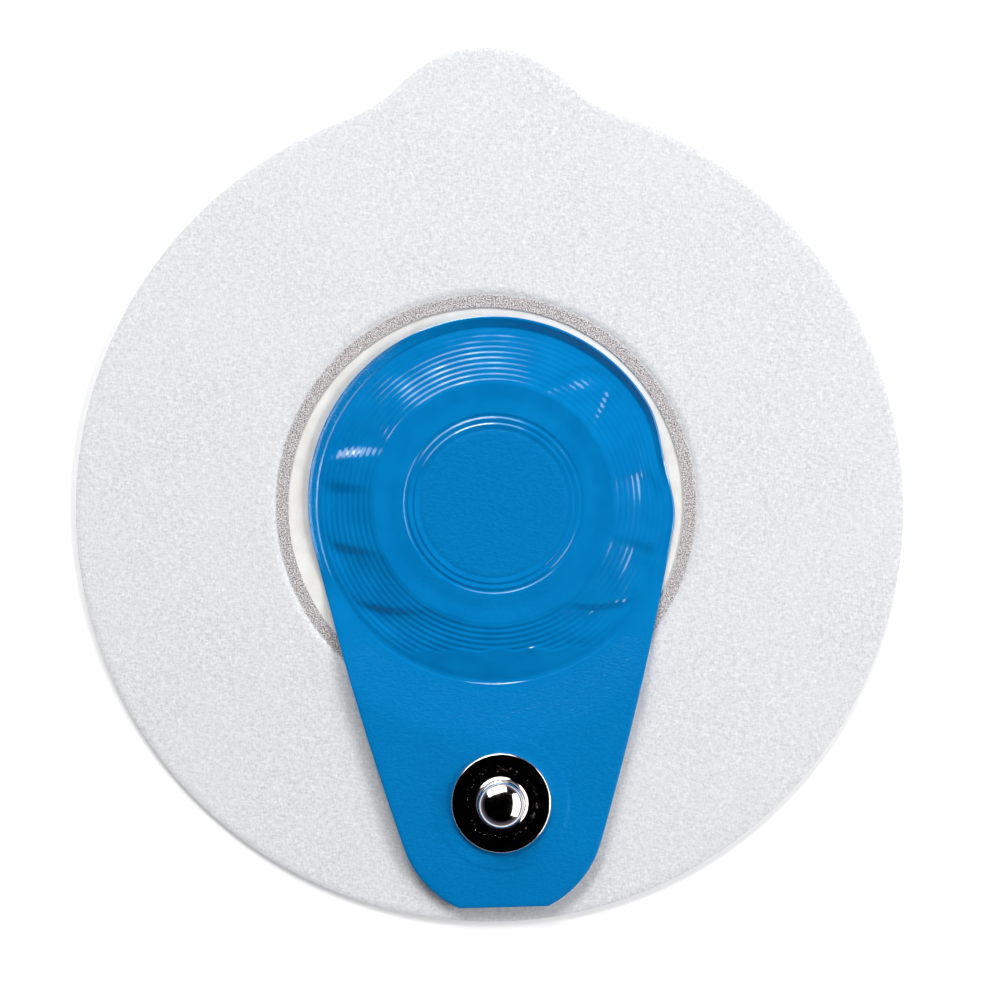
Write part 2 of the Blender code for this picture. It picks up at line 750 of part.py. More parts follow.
def stud_outside():
    """Outer side of the stud from the flange's underside to the middle of its crown."""
    under, land, crown = head_heights()
    edge = 0.5 * FLANGE_THICKNESS
    crown_width = HEAD_RADIUS - SHOULDER_RADIUS
    tilt = math.degrees(math.asin(crown_width / CROWN_RADIUS))
    points = arc((FLANGE_RADIUS - edge, FLANGE_BOTTOM + edge), edge, -90.0, 90.0, 6)
    points += arc((NECK_RADIUS + NECK_FILLET, FLANGE_TOP + NECK_FILLET), NECK_FILLET, 270.0, 180.0, 4)
    points.append((NECK_RADIUS, NECK_TOP))
    points += arc((HEAD_RADIUS - HEAD_UNDER_RADIUS, under), HEAD_UNDER_RADIUS, -HEAD_UNDER_ANGLE, 0.0, 2)
    points += arc((crown_width, land), SHOULDER_RADIUS, 0.0, SHOULDER_ANGLE, 3)
    points += arc((0.0, crown - CROWN_RADIUS), CROWN_RADIUS, 90.0 - tilt, 90.0, 4)[:-1]
    points.append((0.0, crown))
    return points


def stud_inside():
    """Hollow of the stud from the middle of its roof down to its mouth."""
    _, land, crown = head_heights()
    roof = crown - SHELL_THICKNESS
    wide = HEAD_RADIUS - SHELL_THICKNESS
    shoulder = HEAD_RADIUS - SHOULDER_RADIUS - SHELL_THICKNESS
    return [(0.0, roof), (shoulder, roof - SHELL_THICKNESS), (wide, land),
            (wide, NECK_TOP + 2.0 * SHELL_THICKNESS), (STUD_BORE, NECK_TOP + SHELL_THICKNESS),
            (STUD_BORE, FLANGE_BOTTOM)]


def snap_stud():
    """Drawn stud: flat flange, neck, ball head, and the hollow that takes the eyelet."""
    return turned("snap_stud", steel_material("stud_nickel"), STUD_CENTRE,
                  stud_outside() + stud_inside(), STUD_SEGMENTS)


def stud_eyelet():
    """Flanged tube under the film, clinched open inside the stud's head."""
    top = STUD_LEVEL - FILM_THICKNESS - WASHER_GAP
    inner = BARREL_RADIUS - BARREL_WALL
    lip = STUD_BORE + LIP_GRIP
    lip_low = NECK_TOP + 2.0 * SHELL_THICKNESS
    lip_high = lip_low + LIP_THICKNESS
    outline = (
        (inner, top - EYELET_THICKNESS),
        (EYELET_FLANGE_RADIUS, top - EYELET_THICKNESS),
        (EYELET_FLANGE_RADIUS, top),
        (BARREL_RADIUS, top),
        (BARREL_RADIUS, NECK_TOP),
        (lip, lip_low),
        (lip, lip_high),
        (inner, NECK_TOP + LIP_THICKNESS),
    )
    return turned("stud_eyelet", steel_material("eyelet_nickel"), STUD_CENTRE, outline, STUD_SEGMENTS)


def stiffening_washer():
    top = STUD_LEVEL - FILM_THICKNESS - BOND
    low = top - WASHER_THICKNESS
    outline = ((HOLE_RADIUS, low), (WASHER_RADIUS, low), (WASHER_RADIUS, top), (HOLE_RADIUS, top))
    return turned("stiffening_washer", washer_material(), STUD_CENTRE, outline, STUD_SEGMENTS)


def main():
    clear_scene()
    backing_tape()
    skin_adhesive()
    gel_cup()
    gel_sponge()
    sensor_disc()
    conductor_strip()
    top_film()
    flap_liner()
    snap_stud()
    stud_eyelet()
    stiffening_washer()


main()
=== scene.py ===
"""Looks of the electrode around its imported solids: fine surfaces, finishes, light and camera.

Lengths are in millimetres and angles in degrees, unless a name says otherwise.
X runs across, Y towards the pull tab and Z up from the skin face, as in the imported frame.
"""
import math

import bpy
import numpy as np
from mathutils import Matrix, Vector
from mathutils.geometry import delaunay_2d_cdt

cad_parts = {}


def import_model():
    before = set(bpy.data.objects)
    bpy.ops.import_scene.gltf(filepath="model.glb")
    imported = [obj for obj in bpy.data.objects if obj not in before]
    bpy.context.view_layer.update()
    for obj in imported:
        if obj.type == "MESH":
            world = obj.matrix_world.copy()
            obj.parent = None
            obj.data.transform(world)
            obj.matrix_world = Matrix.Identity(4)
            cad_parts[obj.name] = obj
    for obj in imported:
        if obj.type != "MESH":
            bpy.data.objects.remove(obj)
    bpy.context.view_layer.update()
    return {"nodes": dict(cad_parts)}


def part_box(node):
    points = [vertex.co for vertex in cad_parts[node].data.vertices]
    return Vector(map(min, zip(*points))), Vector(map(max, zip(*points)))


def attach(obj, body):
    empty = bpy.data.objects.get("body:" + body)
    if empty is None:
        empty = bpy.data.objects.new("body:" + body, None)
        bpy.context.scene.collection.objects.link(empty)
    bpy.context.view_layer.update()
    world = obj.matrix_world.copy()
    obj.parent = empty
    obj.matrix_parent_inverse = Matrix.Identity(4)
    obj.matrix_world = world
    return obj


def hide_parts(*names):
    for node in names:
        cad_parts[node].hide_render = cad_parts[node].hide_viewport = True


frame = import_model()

BODY = "root"
MM = 0.001
TINY = 1e-6
SOUTH = 270.0
SMOOTH_ANGLE = 40.0


def middle_of(node):
    """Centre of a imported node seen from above."""
    low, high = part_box(node)
    return 0.5 * (low.x + high.x) / MM, 0.5 * (low.y + high.y) / MM


def half_width(node):
    low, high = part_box(node)
    return 0.5 * (high.x - low.x) / MM


def heights(node):
    low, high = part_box(node)
    return low.z / MM, high.z / MM


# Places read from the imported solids
CHAMBER = middle_of("gel_sponge")
STUD_CENTRE = middle_of("snap_stud")
SPONGE_RADIUS = half_width("gel_sponge")
CUP_RADIUS = half_width("gel_cup")
FLANGE_RADIUS = half_width("snap_stud")
WASHER_RADIUS = half_width("stiffening_washer")
TAPE_RADIUS = half_width("backing_tape")
TAPE_BOTTOM, TAPE_TOP = heights("backing_tape")
SPONGE_TOP = heights("gel_sponge")[1]
FLANGE_BOTTOM, CROWN = heights("snap_stud")
WASHER_TOP = heights("stiffening_washer")[1]

# Stud, as in the solids but for its finer curves
FLANGE_THICKNESS = 0.42
RIM_BULGE = 0.16
NECK_RADIUS = 1.72
NECK_FILLET = 0.72
HEAD_RADIUS = 1.95
UNDER_RADIUS = 0.40
UNDER_ANGLE = 50.0
HEAD_LAND = 0.10
CROWN_RADIUS = 2.75
CROWN_WIDTH = 1.55
SHELL_THICKNESS = 0.22
STUD_BORE = 1.42
MOUTH_LENGTH = 1.45
STUD_TURNS = 144
RIM_STEPS = 24
FLAT_STEPS = 12
CURVE_STEPS = 16
UNDER_STEPS = 8

# Roof of the stud's hollow: how far it falls to its shoulder and to the wall
ROOF_FALL = (2.0 * SHELL_THICKNESS, 5.0 * SHELL_THICKNESS)

# Rough specks on the flange: where they begin, are strongest and end
SPECK_RADII = (2.3, 2.8, 3.4)

# Tape disc, as in the solids
TAB_RADIUS = 9.45
TAB_PROJECTION = 3.85
TAB_SHIFT = 0.35
TAB_FILLET = 12.0
WELD_CENTRE = (-0.28, 0.25)
WELD_INNER = 16.25
WELD_OUTER = 17.30
WELD_WALL = 0.25
WELD_TOP = 0.32
GREY_START = (WELD_INNER - 0.30, WELD_INNER - 0.05)
GREY_STOP = (WELD_OUTER + 0.06, WELD_OUTER - 0.14)
CUP_FLANGE_TOP = 0.20
CUP_STEP = (CUP_RADIUS + 0.05, CUP_RADIUS + 0.15)
BOND = 0.02

# Waves of the loose tape: share, radians a millimetre across and along, and start
TAPE_WAVES = (
    (1.0, 0.21, 0.13, 0.6),
    (1.0, -0.11, 0.27, 2.1),
    (0.6, 0.43, -0.31, 0.0),
)
TAPE_WAVE = 0.035
TAPE_WAVE_START = (WELD_OUTER + 1.0, WELD_OUTER + 5.0)
EDGE_ROUND = 0.12

# Net of the tape: its rings lie a little closer together towards the cut edge
TAPE_TURNS = 480
TAPE_RINGS = 50
TAPE_RING_POWER = 0.95
PRESSED_RINGS = 9
EDGE_RING_SHARE = EDGE_ROUND / 17.0
FAR_FROM_EDGE = 9.0

# Blue film, as in the solids
FILM_CENTRE = (0.21, 0.65)
FILM_RADIUS = 15.08
FILM_THICKNESS = 0.16
FLANK_RADIUS = 270.0
FLAP_END_RADIUS = 8.46
FLAP_END_OFFSET = 0.92
FLAP_CUT_WIDTH = 7.27
HOLE_RADIUS = 1.30
SEAT_TOP = 0.45
DOME_HEIGHT = 1.60
DISH_RADIUS = 8.6
DISH_DEPTH = 0.08
GROOVE_INNER = 9.85
GROOVE_OUTER = 14.35
GROOVE_PITCH = 0.45
SEAT_RADIUS = 14.45
SEAL_RADIUS = 14.95
FOOT_HEIGHT = 0.0625
FOOT_WIDTH = 0.25
FLAP_LEVEL = WASHER_TOP + BOND + FILM_THICKNESS
FLAP_RISE_END = -18.80
FLAP_FOOT = (0.40, 0.04)
FLAP_BLUR = 0.50
DROOP_START = -29.64
FLAP_CUT_Y = -32.70
FLAP_DROOP = 0.25

# Ring round the middle disc, pressed as sharp steps: (distance inside its edge, height)
RING_EDGE = 7.42
RING_STEPS = (
    (1.67, -0.05), (1.37, -0.08), (0.94, 0.02), (0.79, -0.07),
    (0.43, 0.02), (0.30, -0.08), (0.17, -0.08), (0.00, 0.00),
)
RING_BLUR = 0.035
BLUR_STEP = 0.01

# Where the ring is faint: direction, half angle and how much fainter
RING_FAINT = (2.0, 70.0, 0.55)

# Grooves: depth by direction, and where they end before the flap
GROOVE_DEPTHS = (
    (0, 0.007), (50, 0.010), (70, 0.018), (86, 0.024), (102, 0.022), (120, 0.013), (140, 0.018),
    (156, 0.034), (195, 0.034), (225, 0.034), (255, 0.054), (285, 0.058), (312, 0.026), (335, 0.007),
)
GROOVE_START = (GROOVE_INNER - 0.1, GROOVE_INNER + 0.35)
GROOVE_STOP = (GROOVE_OUTER - 0.3, GROOVE_OUTER)
GROOVE_END_Y = -11.7
GROOVE_END_WAVE = 0.16
GROOVE_END_TURNS = (2.1, 0.0, 0.8)
GROOVE_END_FADE = 0.30

# Outer grooves fade to the north: direction and half angle, radii, and how much fainter
OUTER_FAINT_SECTOR = (95.0, 60.0)
OUTER_FAINT_START = (12.4, 13.6)
OUTER_FAINT = 0.35

# Step where the grooves end, with peaks at (x, half width, height)
LENS_STEP = 0.035
LENS_STEP_WIDTH = 0.14
LENS_STEP_STOP = (13.9, 14.5)
LENS_PEAK_LENGTH = 0.7
LENS_PEAKS = ((-7.2, 0.9, 0.06), (-2.6, 0.5, 0.04), (3.2, 0.6, 0.07), (8.4, 1.2, 0.08))

# Small step along the seam: its place, how far it runs to either side, and its higher middle
ARC_RADIUS = 14.70
ARC_WIDTH = 0.14
ARC_STEP = 0.030
ARC_SIDE = (36.0, 50.0)
ARC_STEP_MIDDLE = 0.040
ARC_MIDDLE = (269.0, 13.0)

# Slight waves between the disc and the rim, as for the tape but for the share
UNEVEN = 0.014
UNEVEN_WAVES = ((1.9, 0.7, 1.0), (-0.8, 1.1, 0.4))
UNEVEN_START = (9.4, 10.4)
UNEVEN_STOP = (13.4, 14.3)

# Folds across the grooves: directions of the crest, the bottom and the far end, the depth, and
# how many degrees the fold turns for each millimetre outwards
FOLDS = (
    (-44.0, -48.5, -66.0, 0.22, 5.0),
    (-15.5, -19.5, -42.0, 0.17, 0.0),
    (12.0, 7.0, -14.0, 0.16, 0.0),
    (43.0, 38.5, 28.0, 0.14, 2.0),
    (62.0, 57.0, 47.0, 0.18, -3.5),
    (130.0, 122.5, 92.0, 0.13, 0.0),
    (160.5, 155.5, 136.0, 0.26, 2.2),
    (170.0, 175.0, 194.0, 0.30, 0.0),
    (195.0, 199.5, 222.0, 0.30, -2.4),
    (223.0, 228.5, 250.0, 0.28, -6.0),
)
FOLD_MIDDLE = 12.0
FOLD_INNER = (9.75, 12.20)
FOLD_OUTER = (13.1, 14.35)

# South side of the dome, drawn up by the flap
SOUTH_LIFT = 0.40
SOUTH_SIDE = (30.0, 66.0)

# Rim of the film: where it is higher, by direction and half angle, and where it is free and
# rough, by direction and the angles up to which it is wholly so and from which on it isn't
RIM_RISE = 0.26
RIM_RISE_NORTH = 0.30
RIM_NORTH = (65.0, 75.0)
RIM_LIP = 0.08
RIM_LIP_WIDTH = 0.14
RIM_FREE = (103.0, 88.0, 102.0)
RIM_HINGE = 0.70
RIM_TILT = 0.04
RIM_ROLL = 0.10
RIM_WEST = (165.0, 40.0, 58.0)
RIM_ROUGH_START = (SEAT_RADIUS + 0.08, SEAT_RADIUS + 0.16)
RIM_ROUGH_FADE = 8.0
KINK = (12.5, 20.0)
KINK_DEPTH = 0.55
KINK_REACH = 2.4
CUT_WIDTH = 0.14
CUT_DROP = 0.045

# Drop of the flap around the washer: everywhere, and more in two sectors
STEP_DROP = 0.020
STEP_DROP_EAST = 0.055
STEP_DROP_SOUTH = 0.030
STEP_EAST = (-8.0, 40.0)
STEP_SOUTH = (SOUTH, 60.0)
STEP_WIDTH = 0.36

# Where the flap's level takes over from the dome's: half angle about the south, and distance
FLAP_SIDE = 62.0
FLAP_SIDE_EDGE = (FLAP_SIDE - 8.0, FLAP_SIDE + 4.0)
FLAP_SEAM = (SEAT_RADIUS, SEAT_RADIUS + 0.3)

# Fine emboss: on the middle disc, on the flap, and fainter south of the disc
EMBOSS_DISC = (5.95, 6.15)
EMBOSS_FLAP = (SEAT_RADIUS + 0.2, SEAT_RADIUS + 0.9)
EMBOSS_FLAP_SIDE = (FLAP_SIDE - 22.0, FLAP_SIDE - 6.0)
EMBOSS_SOUTH = 0.5
EMBOSS_SOUTH_SIDE = (35.0, 60.0)
EMBOSS_SOUTH_START = (7.4, 7.7)
EMBOSS_SOUTH_STOP = (9.5, 9.8)

# Rings of the film's net up to the dome's foot: first radius, last radius and how many
FILM_BANDS = (
    (0.8, 5.6, 7),
    (RING_EDGE - RING_STEPS[0][0], RING_EDGE + 0.1, 44),
    (RING_EDGE + 0.3, GROOVE_INNER - 0.2, 9),
    (GROOVE_INNER - 0.1, SEAT_RADIUS, 76),
)
FILM_TURNS = 360
LIP_SHARES = (0.25, 0.5, 0.75, 1.0)
RIM_SHARES = (0.14, 0.28, 0.40, 0.50, 0.64, 0.78, 0.90, 1.0)

# Where the film's underside begins to follow its slope, as its free rim and the flap do
UNDER_TILT = (SEAT_RADIUS, SEAT_RADIUS + 0.2)

# Net of the flap, with rings around the washer's edge
FLAP_SPACING = 0.40
FLAP_FROM = 207.0
FLAP_TO = 348.0
FLAP_BLEND = 8.0
WASHER_RINGS = (-0.3, 0.0, 0.12, 0.24, 0.36, 0.5, 0.8)
WASHER_ZONE = (WASHER_RADIUS - 0.45, WASHER_RADIUS + 0.95)
WASHER_TURNS = 96
HOLE_TURNS = 72
HOLE_MARGIN = 0.2
BORDER_MARGIN = 0.25
EDGE_MARGIN = 0.2
SEAM_MARGIN = 0.03
INSET_ENDS = 3
INSET_CLEARANCE = 0.9
SAME_POINT = 1e-4
WHOLE_HULL = 0

# Gel sponge: pores on its skin side, a soft edge and the sensor's recess in its top
SPONGE_TURNS = 120
SPONGE_RINGS = 36
SPONGE_EDGE_RINGS = (SPONGE_RADIUS - 0.04, SPONGE_RADIUS)
SPONGE_FIELD = SPONGE_RADIUS - 0.15
SPONGE_BOTTOM = 0.01
SPONGE_EDGE = (SPONGE_RADIUS - 0.25, SPONGE_RADIUS)
SPONGE_EDGE_ROUND = 0.10
PORE_SEED = 11
PORE_DEPTH = 0.07
PORE_DEPTH_TOP = 0.03
RECESS = (2.10, 2.25)
RECESS_DEPTH = 0.25

# Picture: the point under the middle of the frame, its width, the roll and the camera's height
VIEW_POINT = (0.88, 0.63)
VIEW_WIDTH = 82.1
VIEW_ROLL = 1.457
CAMERA_HEIGHT = 280.0
SENSOR_WIDTH = 36.0
CLIP_START = 0.01

# Lamps: direction, angle from overhead, distance, width, height and power in watts
LAMPS = {
    "north_softbox": (107.0, 57.0, 600.0, 744.0, 396.0, 3.00),
    "east_softbox": (-6.0, 56.0, 600.0, 840.0, 310.0, 2.80),
    "north_core": (103.0, 52.0, 580.0, 240.0, 132.0, 1.30),
    "east_core": (-8.0, 54.0, 580.0, 156.0, 108.0, 0.62),
}

# Floor: half its side, its level and what it gives back
FLOOR_HALF = 1500.0
FLOOR_LEVEL = -0.01
FLOOR_COLOUR = (0.82, 0.82, 0.83, 1.0)
FLOOR_GLOW = 0.30

# World: it glows up to one height over the horizon, and from the other on it is dark
HORIZON_TO = 0.10
CEILING_FROM = 0.55
HORIZON_GLOW = 0.20
HORIZON_TINT = (0.92, 0.86, 1.20, 1.0)
WHITE = (1.0, 1.0, 1.0, 1.0)

# Sockets of the colour mixing node: those of its other data types have the same names
MIX_SHARE, MIX_FIRST, MIX_SECOND = 0, 6, 7
MIX_COLOUR = 2


def distance(x, y, centre):
    return np.hypot(x - centre[0], y - centre[1])


def direction(x, y, centre):
    return np.degrees(np.arctan2(y - centre[1], x - centre[0]))


def from_chamber(x, y):
    """How far points lie from the chamber's middle, and in which direction."""
    return distance(x, y, CHAMBER), direction(x, y, CHAMBER)


def ramp(value, start, end):
    """0 up to the start and 1 from the end on, straight in between."""
    return np.clip((value - start) / (end - start), 0.0, 1.0)


def smoothstep(value, start, end):
    """A ramp with rounded ends."""
    share = ramp(value, start, end)
    return share * share * (3.0 - 2.0 * share)


def between(value, start, stop):
    """1 between two smooth steps, each a pair of places; 0 before the first and after the second."""
    return smoothstep(value, *start) * (1.0 - smoothstep(value, *stop))


def hump(value, half):
    """1 at 0, falling to 0 at the half width with a rounded foot."""
    near = np.abs(value) < half
    return np.where(near, 0.5 + 0.5 * np.cos(np.pi * value / half), 0.0)


def wrapped(angle):
    """An angle brought between -180 and 180."""
    return (angle + 180.0) % 360.0 - 180.0


def turn_gap(angle, target):
    return np.abs(wrapped(angle - target))


def hump_at(angle, middle, half_angle):
    """1 in one direction, falling to 0 at the half angle to either side."""
    return hump(turn_gap(angle, middle), half_angle)


def facing(angle, middle, full, end):
    """1 up to the full angle from one direction, 0 from the end angle on."""
    return 1.0 - smoothstep(turn_gap(angle, middle), full, end)


def ripple(x, y, across, along, start):
    return np.sin(across * x + along * y + start)


def softened(profile, blur):
    """A (place, height) polyline as a finely sampled curve with rounded corners."""
    places = np.arange(profile[0][0] - 1.0, profile[-1][0] + 1.0, BLUR_STEP)
    values = np.interp(places, [p for p, _ in profile], [h for _, h in profile])
    reach = max(1, int(round(3.0 * blur / BLUR_STEP)))
    kernel = np.exp(-0.5 * (np.arange(-reach, reach + 1) * BLUR_STEP / blur) ** 2)
    padded = np.pad(values, reach, mode="edge")
    return places, np.convolve(padded, kernel / kernel.sum(), mode="valid")


def arc(centre, radius, start, end, count):
    turns = np.radians(np.linspace(start, end, count + 1))
    return np.stack([centre[0] + radius * np.cos(turns), centre[1] + radius * np.sin(turns)], axis=1)


def angle_to(point, centre):
    return math.degrees(math.atan2(point[1] - centre[1], point[0] - centre[0]))


def circles_meet(first, first_radius, second, second_radius, side):
    """Where two circles cross: side +1 is to the left when looking from first to second."""
    across = (second[0] - first[0], second[1] - first[1])
    gap = math.hypot(*across)
    along = (gap ** 2 + first_radius ** 2 - second_radius ** 2) / (2.0 * gap)
    off = side * math.sqrt(first_radius ** 2 - along ** 2)
    unit = (across[0] / gap, across[1] / gap)
    return (first[0] + unit[0] * along - unit[1] * off, first[1] + unit[1] * along + unit[0] * off)


def tape_outline():
    """Disc with a round tab at +Y, joined by hollow fillets."""
    hub = (0.0, 0.0)
    tab = (TAB_SHIFT, TAPE_RADIUS + TAB_PROJECTION - TAB_RADIUS)
    right, left = (circles_meet(hub, TAPE_RADIUS + TAB_FILLET, tab, TAB_RADIUS + TAB_FILLET, side)
                   for side in (-1, 1))
    right_foot, left_foot = angle_to(right, hub), angle_to(left, hub)
    right_cap, left_cap = angle_to(right, tab), angle_to(left, tab)
    return np.concatenate([
        arc(hub, TAPE_RADIUS, left_foot, right_foot + 360.0, 700),
        arc(right, TAB_FILLET, right_foot + 180.0, right_cap + 180.0, 60)[1:],
        arc(tab, TAB_RADIUS, right_cap, left_cap, 140)[1:],
        arc(left, TAB_FILLET, left_cap - 180.0, left_foot - 180.0, 60)[1:-1],
    ])


def film_outline():
    """Round over the chamber, drawn in to the stud, with its end cut straight."""
    end_centre = (STUD_CENTRE[0], STUD_CENTRE[1] - FLAP_END_OFFSET)
    hulls = [circles_meet(FILM_CENTRE, FLANK_RADIUS - FILM_RADIUS,
                          end_centre, FLANK_RADIUS - FLAP_END_RADIUS, side) for side in (-1, 1)]
    left, right = sorted(hulls, reverse=True)
    left_top, left_low = (angle_to(centre, left) + 360.0 for centre in (FILM_CENTRE, end_centre))
    right_top, right_low = (angle_to(centre, right) for centre in (FILM_CENTRE, end_centre))
    cut = math.degrees(math.acos(0.5 * FLAP_CUT_WIDTH / FLAP_END_RADIUS))
    corners = arc(end_centre, FLAP_END_RADIUS, 180.0 + cut, 360.0 - cut, 1)
    return np.concatenate([
        arc(FILM_CENTRE, FILM_RADIUS, right_top, left_top, 400),
        arc(left, FLANK_RADIUS, left_top, left_low, 60)[1:],
        arc(end_centre, FLAP_END_RADIUS, left_low, 180.0 + cut, 40)[1:],
        np.linspace(*corners, 21)[1:-1],
        arc(end_centre, FLAP_END_RADIUS, 360.0 - cut, right_low + 360.0, 40),
        arc(right, FLANK_RADIUS, right_low, right_top, 60)[1:-1],
    ])


def reach_of(outline, centre, angles):
    """Distance from a centre to an outline in each direction."""
    turns = direction(outline[:, 0], outline[:, 1], centre) % 360.0
    far = distance(outline[:, 0], outline[:, 1], centre)
    order = np.argsort(turns)
    return np.interp(angles % 360.0, turns[order], far[order], period=360.0)


def inside(points, loop):
    """Which points lie in a closed outline."""
    within = np.zeros(len(points), bool)
    x, y = points[:, 0], points[:, 1]
    for (ax, ay), (bx, by) in zip(loop, np.roll(loop, -1, axis=0)):
        if ay != by:
            crosses = (ay > y) != (by > y)
            within ^= crosses & (x < ax + (bx - ax) * (y - ay) / (by - ay))
    return within


def in_scene(name, data):
    """A new object of the scene around its data."""
    made = bpy.data.objects.new(name, data)
    bpy.context.scene.collection.objects.link(made)
    return made


def new_object(name, vertices, faces):
    """A smooth mesh object from vertices in millimetres."""
    data = bpy.data.meshes.new(name)
    data.from_pydata((np.asarray(vertices) * MM).tolist(), [], faces)
    data.update()
    data.shade_smooth()
    data.set_sharp_from_angle(angle=math.radians(SMOOTH_ANGLE))
    return in_scene(name, data)


def shell(name, top, bottom, faces):
    """Closed sheet from an upper and a lower net with the same faces, joined at every free edge."""
    count = len(top)
    edges = {}
    for face in faces:
        for start, end in zip(face, face[1:] + face[:1]):
            if (end, start) in edges:
                del edges[(end, start)]
            else:
                edges[(start, end)] = True
    lower = [tuple(index + count for index in reversed(face)) for face in faces]
    walls = [(end, start, start + count, end + count) for start, end in edges]
    return new_object(name, np.concatenate([top, bottom]), [*faces, *lower, *walls])


def net_normals(points, faces):
    """Upright normals at the points of a net."""
    corners = np.array([(face[0], face[step], face[step + 1])
                        for face in faces for step in range(1, len(face) - 1)])
    first, second, third = (points[corners[:, side]] for side in range(3))
    flats = np.cross(second - first, third - first)
    normals = np.zeros_like(points)
    for side in range(3):
        np.add.at(normals, corners[:, side], flats)
    return normals / np.linalg.norm(normals, axis=1, keepdims=True)


def ring_faces(first, second, turns):
    """Quads between two closed rings of a net, the first one inside."""
    return [(first + step, second + step, second + (step + 1) % turns, first + (step + 1) % turns)
            for step in range(turns)]


def ring_net(centre, radii, turns):
    """Points and faces of closed rings around a centre point; a radius may differ by direction."""
    spin = np.radians(np.arange(turns) * 360.0 / turns)
    x = np.concatenate([[centre[0]], *[centre[0] + radius * np.cos(spin) for radius in radii]])
    y = np.concatenate([[centre[1]], *[centre[1] + radius * np.sin(spin) for radius in radii]])
    faces = [(0, 1 + step, 1 + (step + 1) % turns) for step in range(turns)]
    for ring in range(len(radii) - 1):
        faces += ring_faces(1 + ring * turns, 1 + (ring + 1) * turns, turns)
    return x, y, faces


def write_mask(piece, name, values):
    """Stores one number a vertex for the finish to read."""
    layer = piece.data.attributes.new(name, "FLOAT", "POINT")
    layer.data.foreach_set("value", np.asarray(values, np.float32))


# Tape


def tape_surface(x, y, edge_gap):
    """Upper face of the tape: slightly wavy, pressed down at the weld, thinner at its cut edge."""
    waves = sum(share * ripple(x, y, *turns) for share, *turns in TAPE_WAVES)
    waves = waves / sum(share for share, *_ in TAPE_WAVES)
    radius = distance(x, y, WELD_CENTRE)
    free = smoothstep(radius, WELD_OUTER, WELD_OUTER + WELD_WALL)
    level = WELD_TOP + (TAPE_TOP - WELD_TOP) * free
    level = level + TAPE_WAVE * (waves - 1.0) * 0.5 * smoothstep(radius, *TAPE_WAVE_START)
    return level - 0.5 * EDGE_ROUND * (1.0 - smoothstep(edge_gap, 0.0, 2.0 * EDGE_ROUND))


def tape_underside(x, y):
    """Lower face of the tape: up on the cup's flange, level outside it."""
    over_cup = CUP_FLANGE_TOP + BOND
    return over_cup + (TAPE_BOTTOM - over_cup) * smoothstep(distance(x, y, CHAMBER), *CUP_STEP)


def tape_rings(reach):
    """Radii of the tape's rings and how far each lies inside the cut edge, by direction."""
    start = WELD_OUTER + WELD_WALL
    pressed = WELD_INNER + np.linspace(0.0, start - WELD_INNER, PRESSED_RINGS)
    shares = np.linspace(0.0, 1.0, TAPE_RINGS + 1)[1:] ** TAPE_RING_POWER
    rings = [np.full(TAPE_TURNS, radius) for radius in pressed]
    gaps = [np.full(TAPE_TURNS, FAR_FROM_EDGE) for _ in pressed]
    for share in [*shares[:-1], 1.0 - EDGE_RING_SHARE, 1.0]:
        rings.append(start + (reach - start) * share)
        gaps.append((reach - start) * (1.0 - share))
    return rings, gaps


def backing_tape():
    outline = tape_outline()
    angles = np.arange(TAPE_TURNS) * 360.0 / TAPE_TURNS
    rings, gaps = tape_rings(reach_of(outline, WELD_CENTRE, angles))
    radius = np.concatenate(rings)
    spin = np.tile(np.radians(angles), len(rings))
    x = WELD_CENTRE[0] + radius * np.cos(spin)
    y = WELD_CENTRE[1] + radius * np.sin(spin)
    top = np.stack([x, y, tape_surface(x, y, np.concatenate(gaps))], axis=1)
    bottom = np.stack([x, y, tape_underside(x, y)], axis=1)
    faces = []
    for ring in range(len(rings) - 1):
        faces += ring_faces(ring * TAPE_TURNS, (ring + 1) * TAPE_TURNS, TAPE_TURNS)
    piece = shell("nonwoven_disc", top, bottom, faces)
    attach(piece, BODY)
    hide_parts("backing_tape")
    return piece


# Blue film


def dome_curve():
    """Height of the dome by radius, before its grooves and folds."""
    ring = [(RING_EDGE - inset, DOME_HEIGHT + height) for inset, height in RING_STEPS]
    return softened((
        (0.0, ring[0][1]),
        *ring,
        (DISH_RADIUS, DOME_HEIGHT - DISH_DEPTH),
        (GROOVE_INNER, DOME_HEIGHT),
        (SEAT_RADIUS - FOOT_WIDTH, SEAT_TOP + FOOT_HEIGHT),
        (SEAT_RADIUS, SEAT_TOP),
    ), RING_BLUR)


def flap_curve():
    """Height of the flap by its distance below the chamber: a long easy rise to the stud, then level."""
    foot = SEAT_RADIUS - CHAMBER[1]
    along, up = FLAP_FOOT
    return softened((
        (foot, SEAT_TOP),
        (foot + along, SEAT_TOP + up),
        (-FLAP_RISE_END, FLAP_LEVEL),
        (-DROOP_START, FLAP_LEVEL),
        (-FLAP_CUT_Y, FLAP_LEVEL - FLAP_DROOP),
    ), FLAP_BLUR)


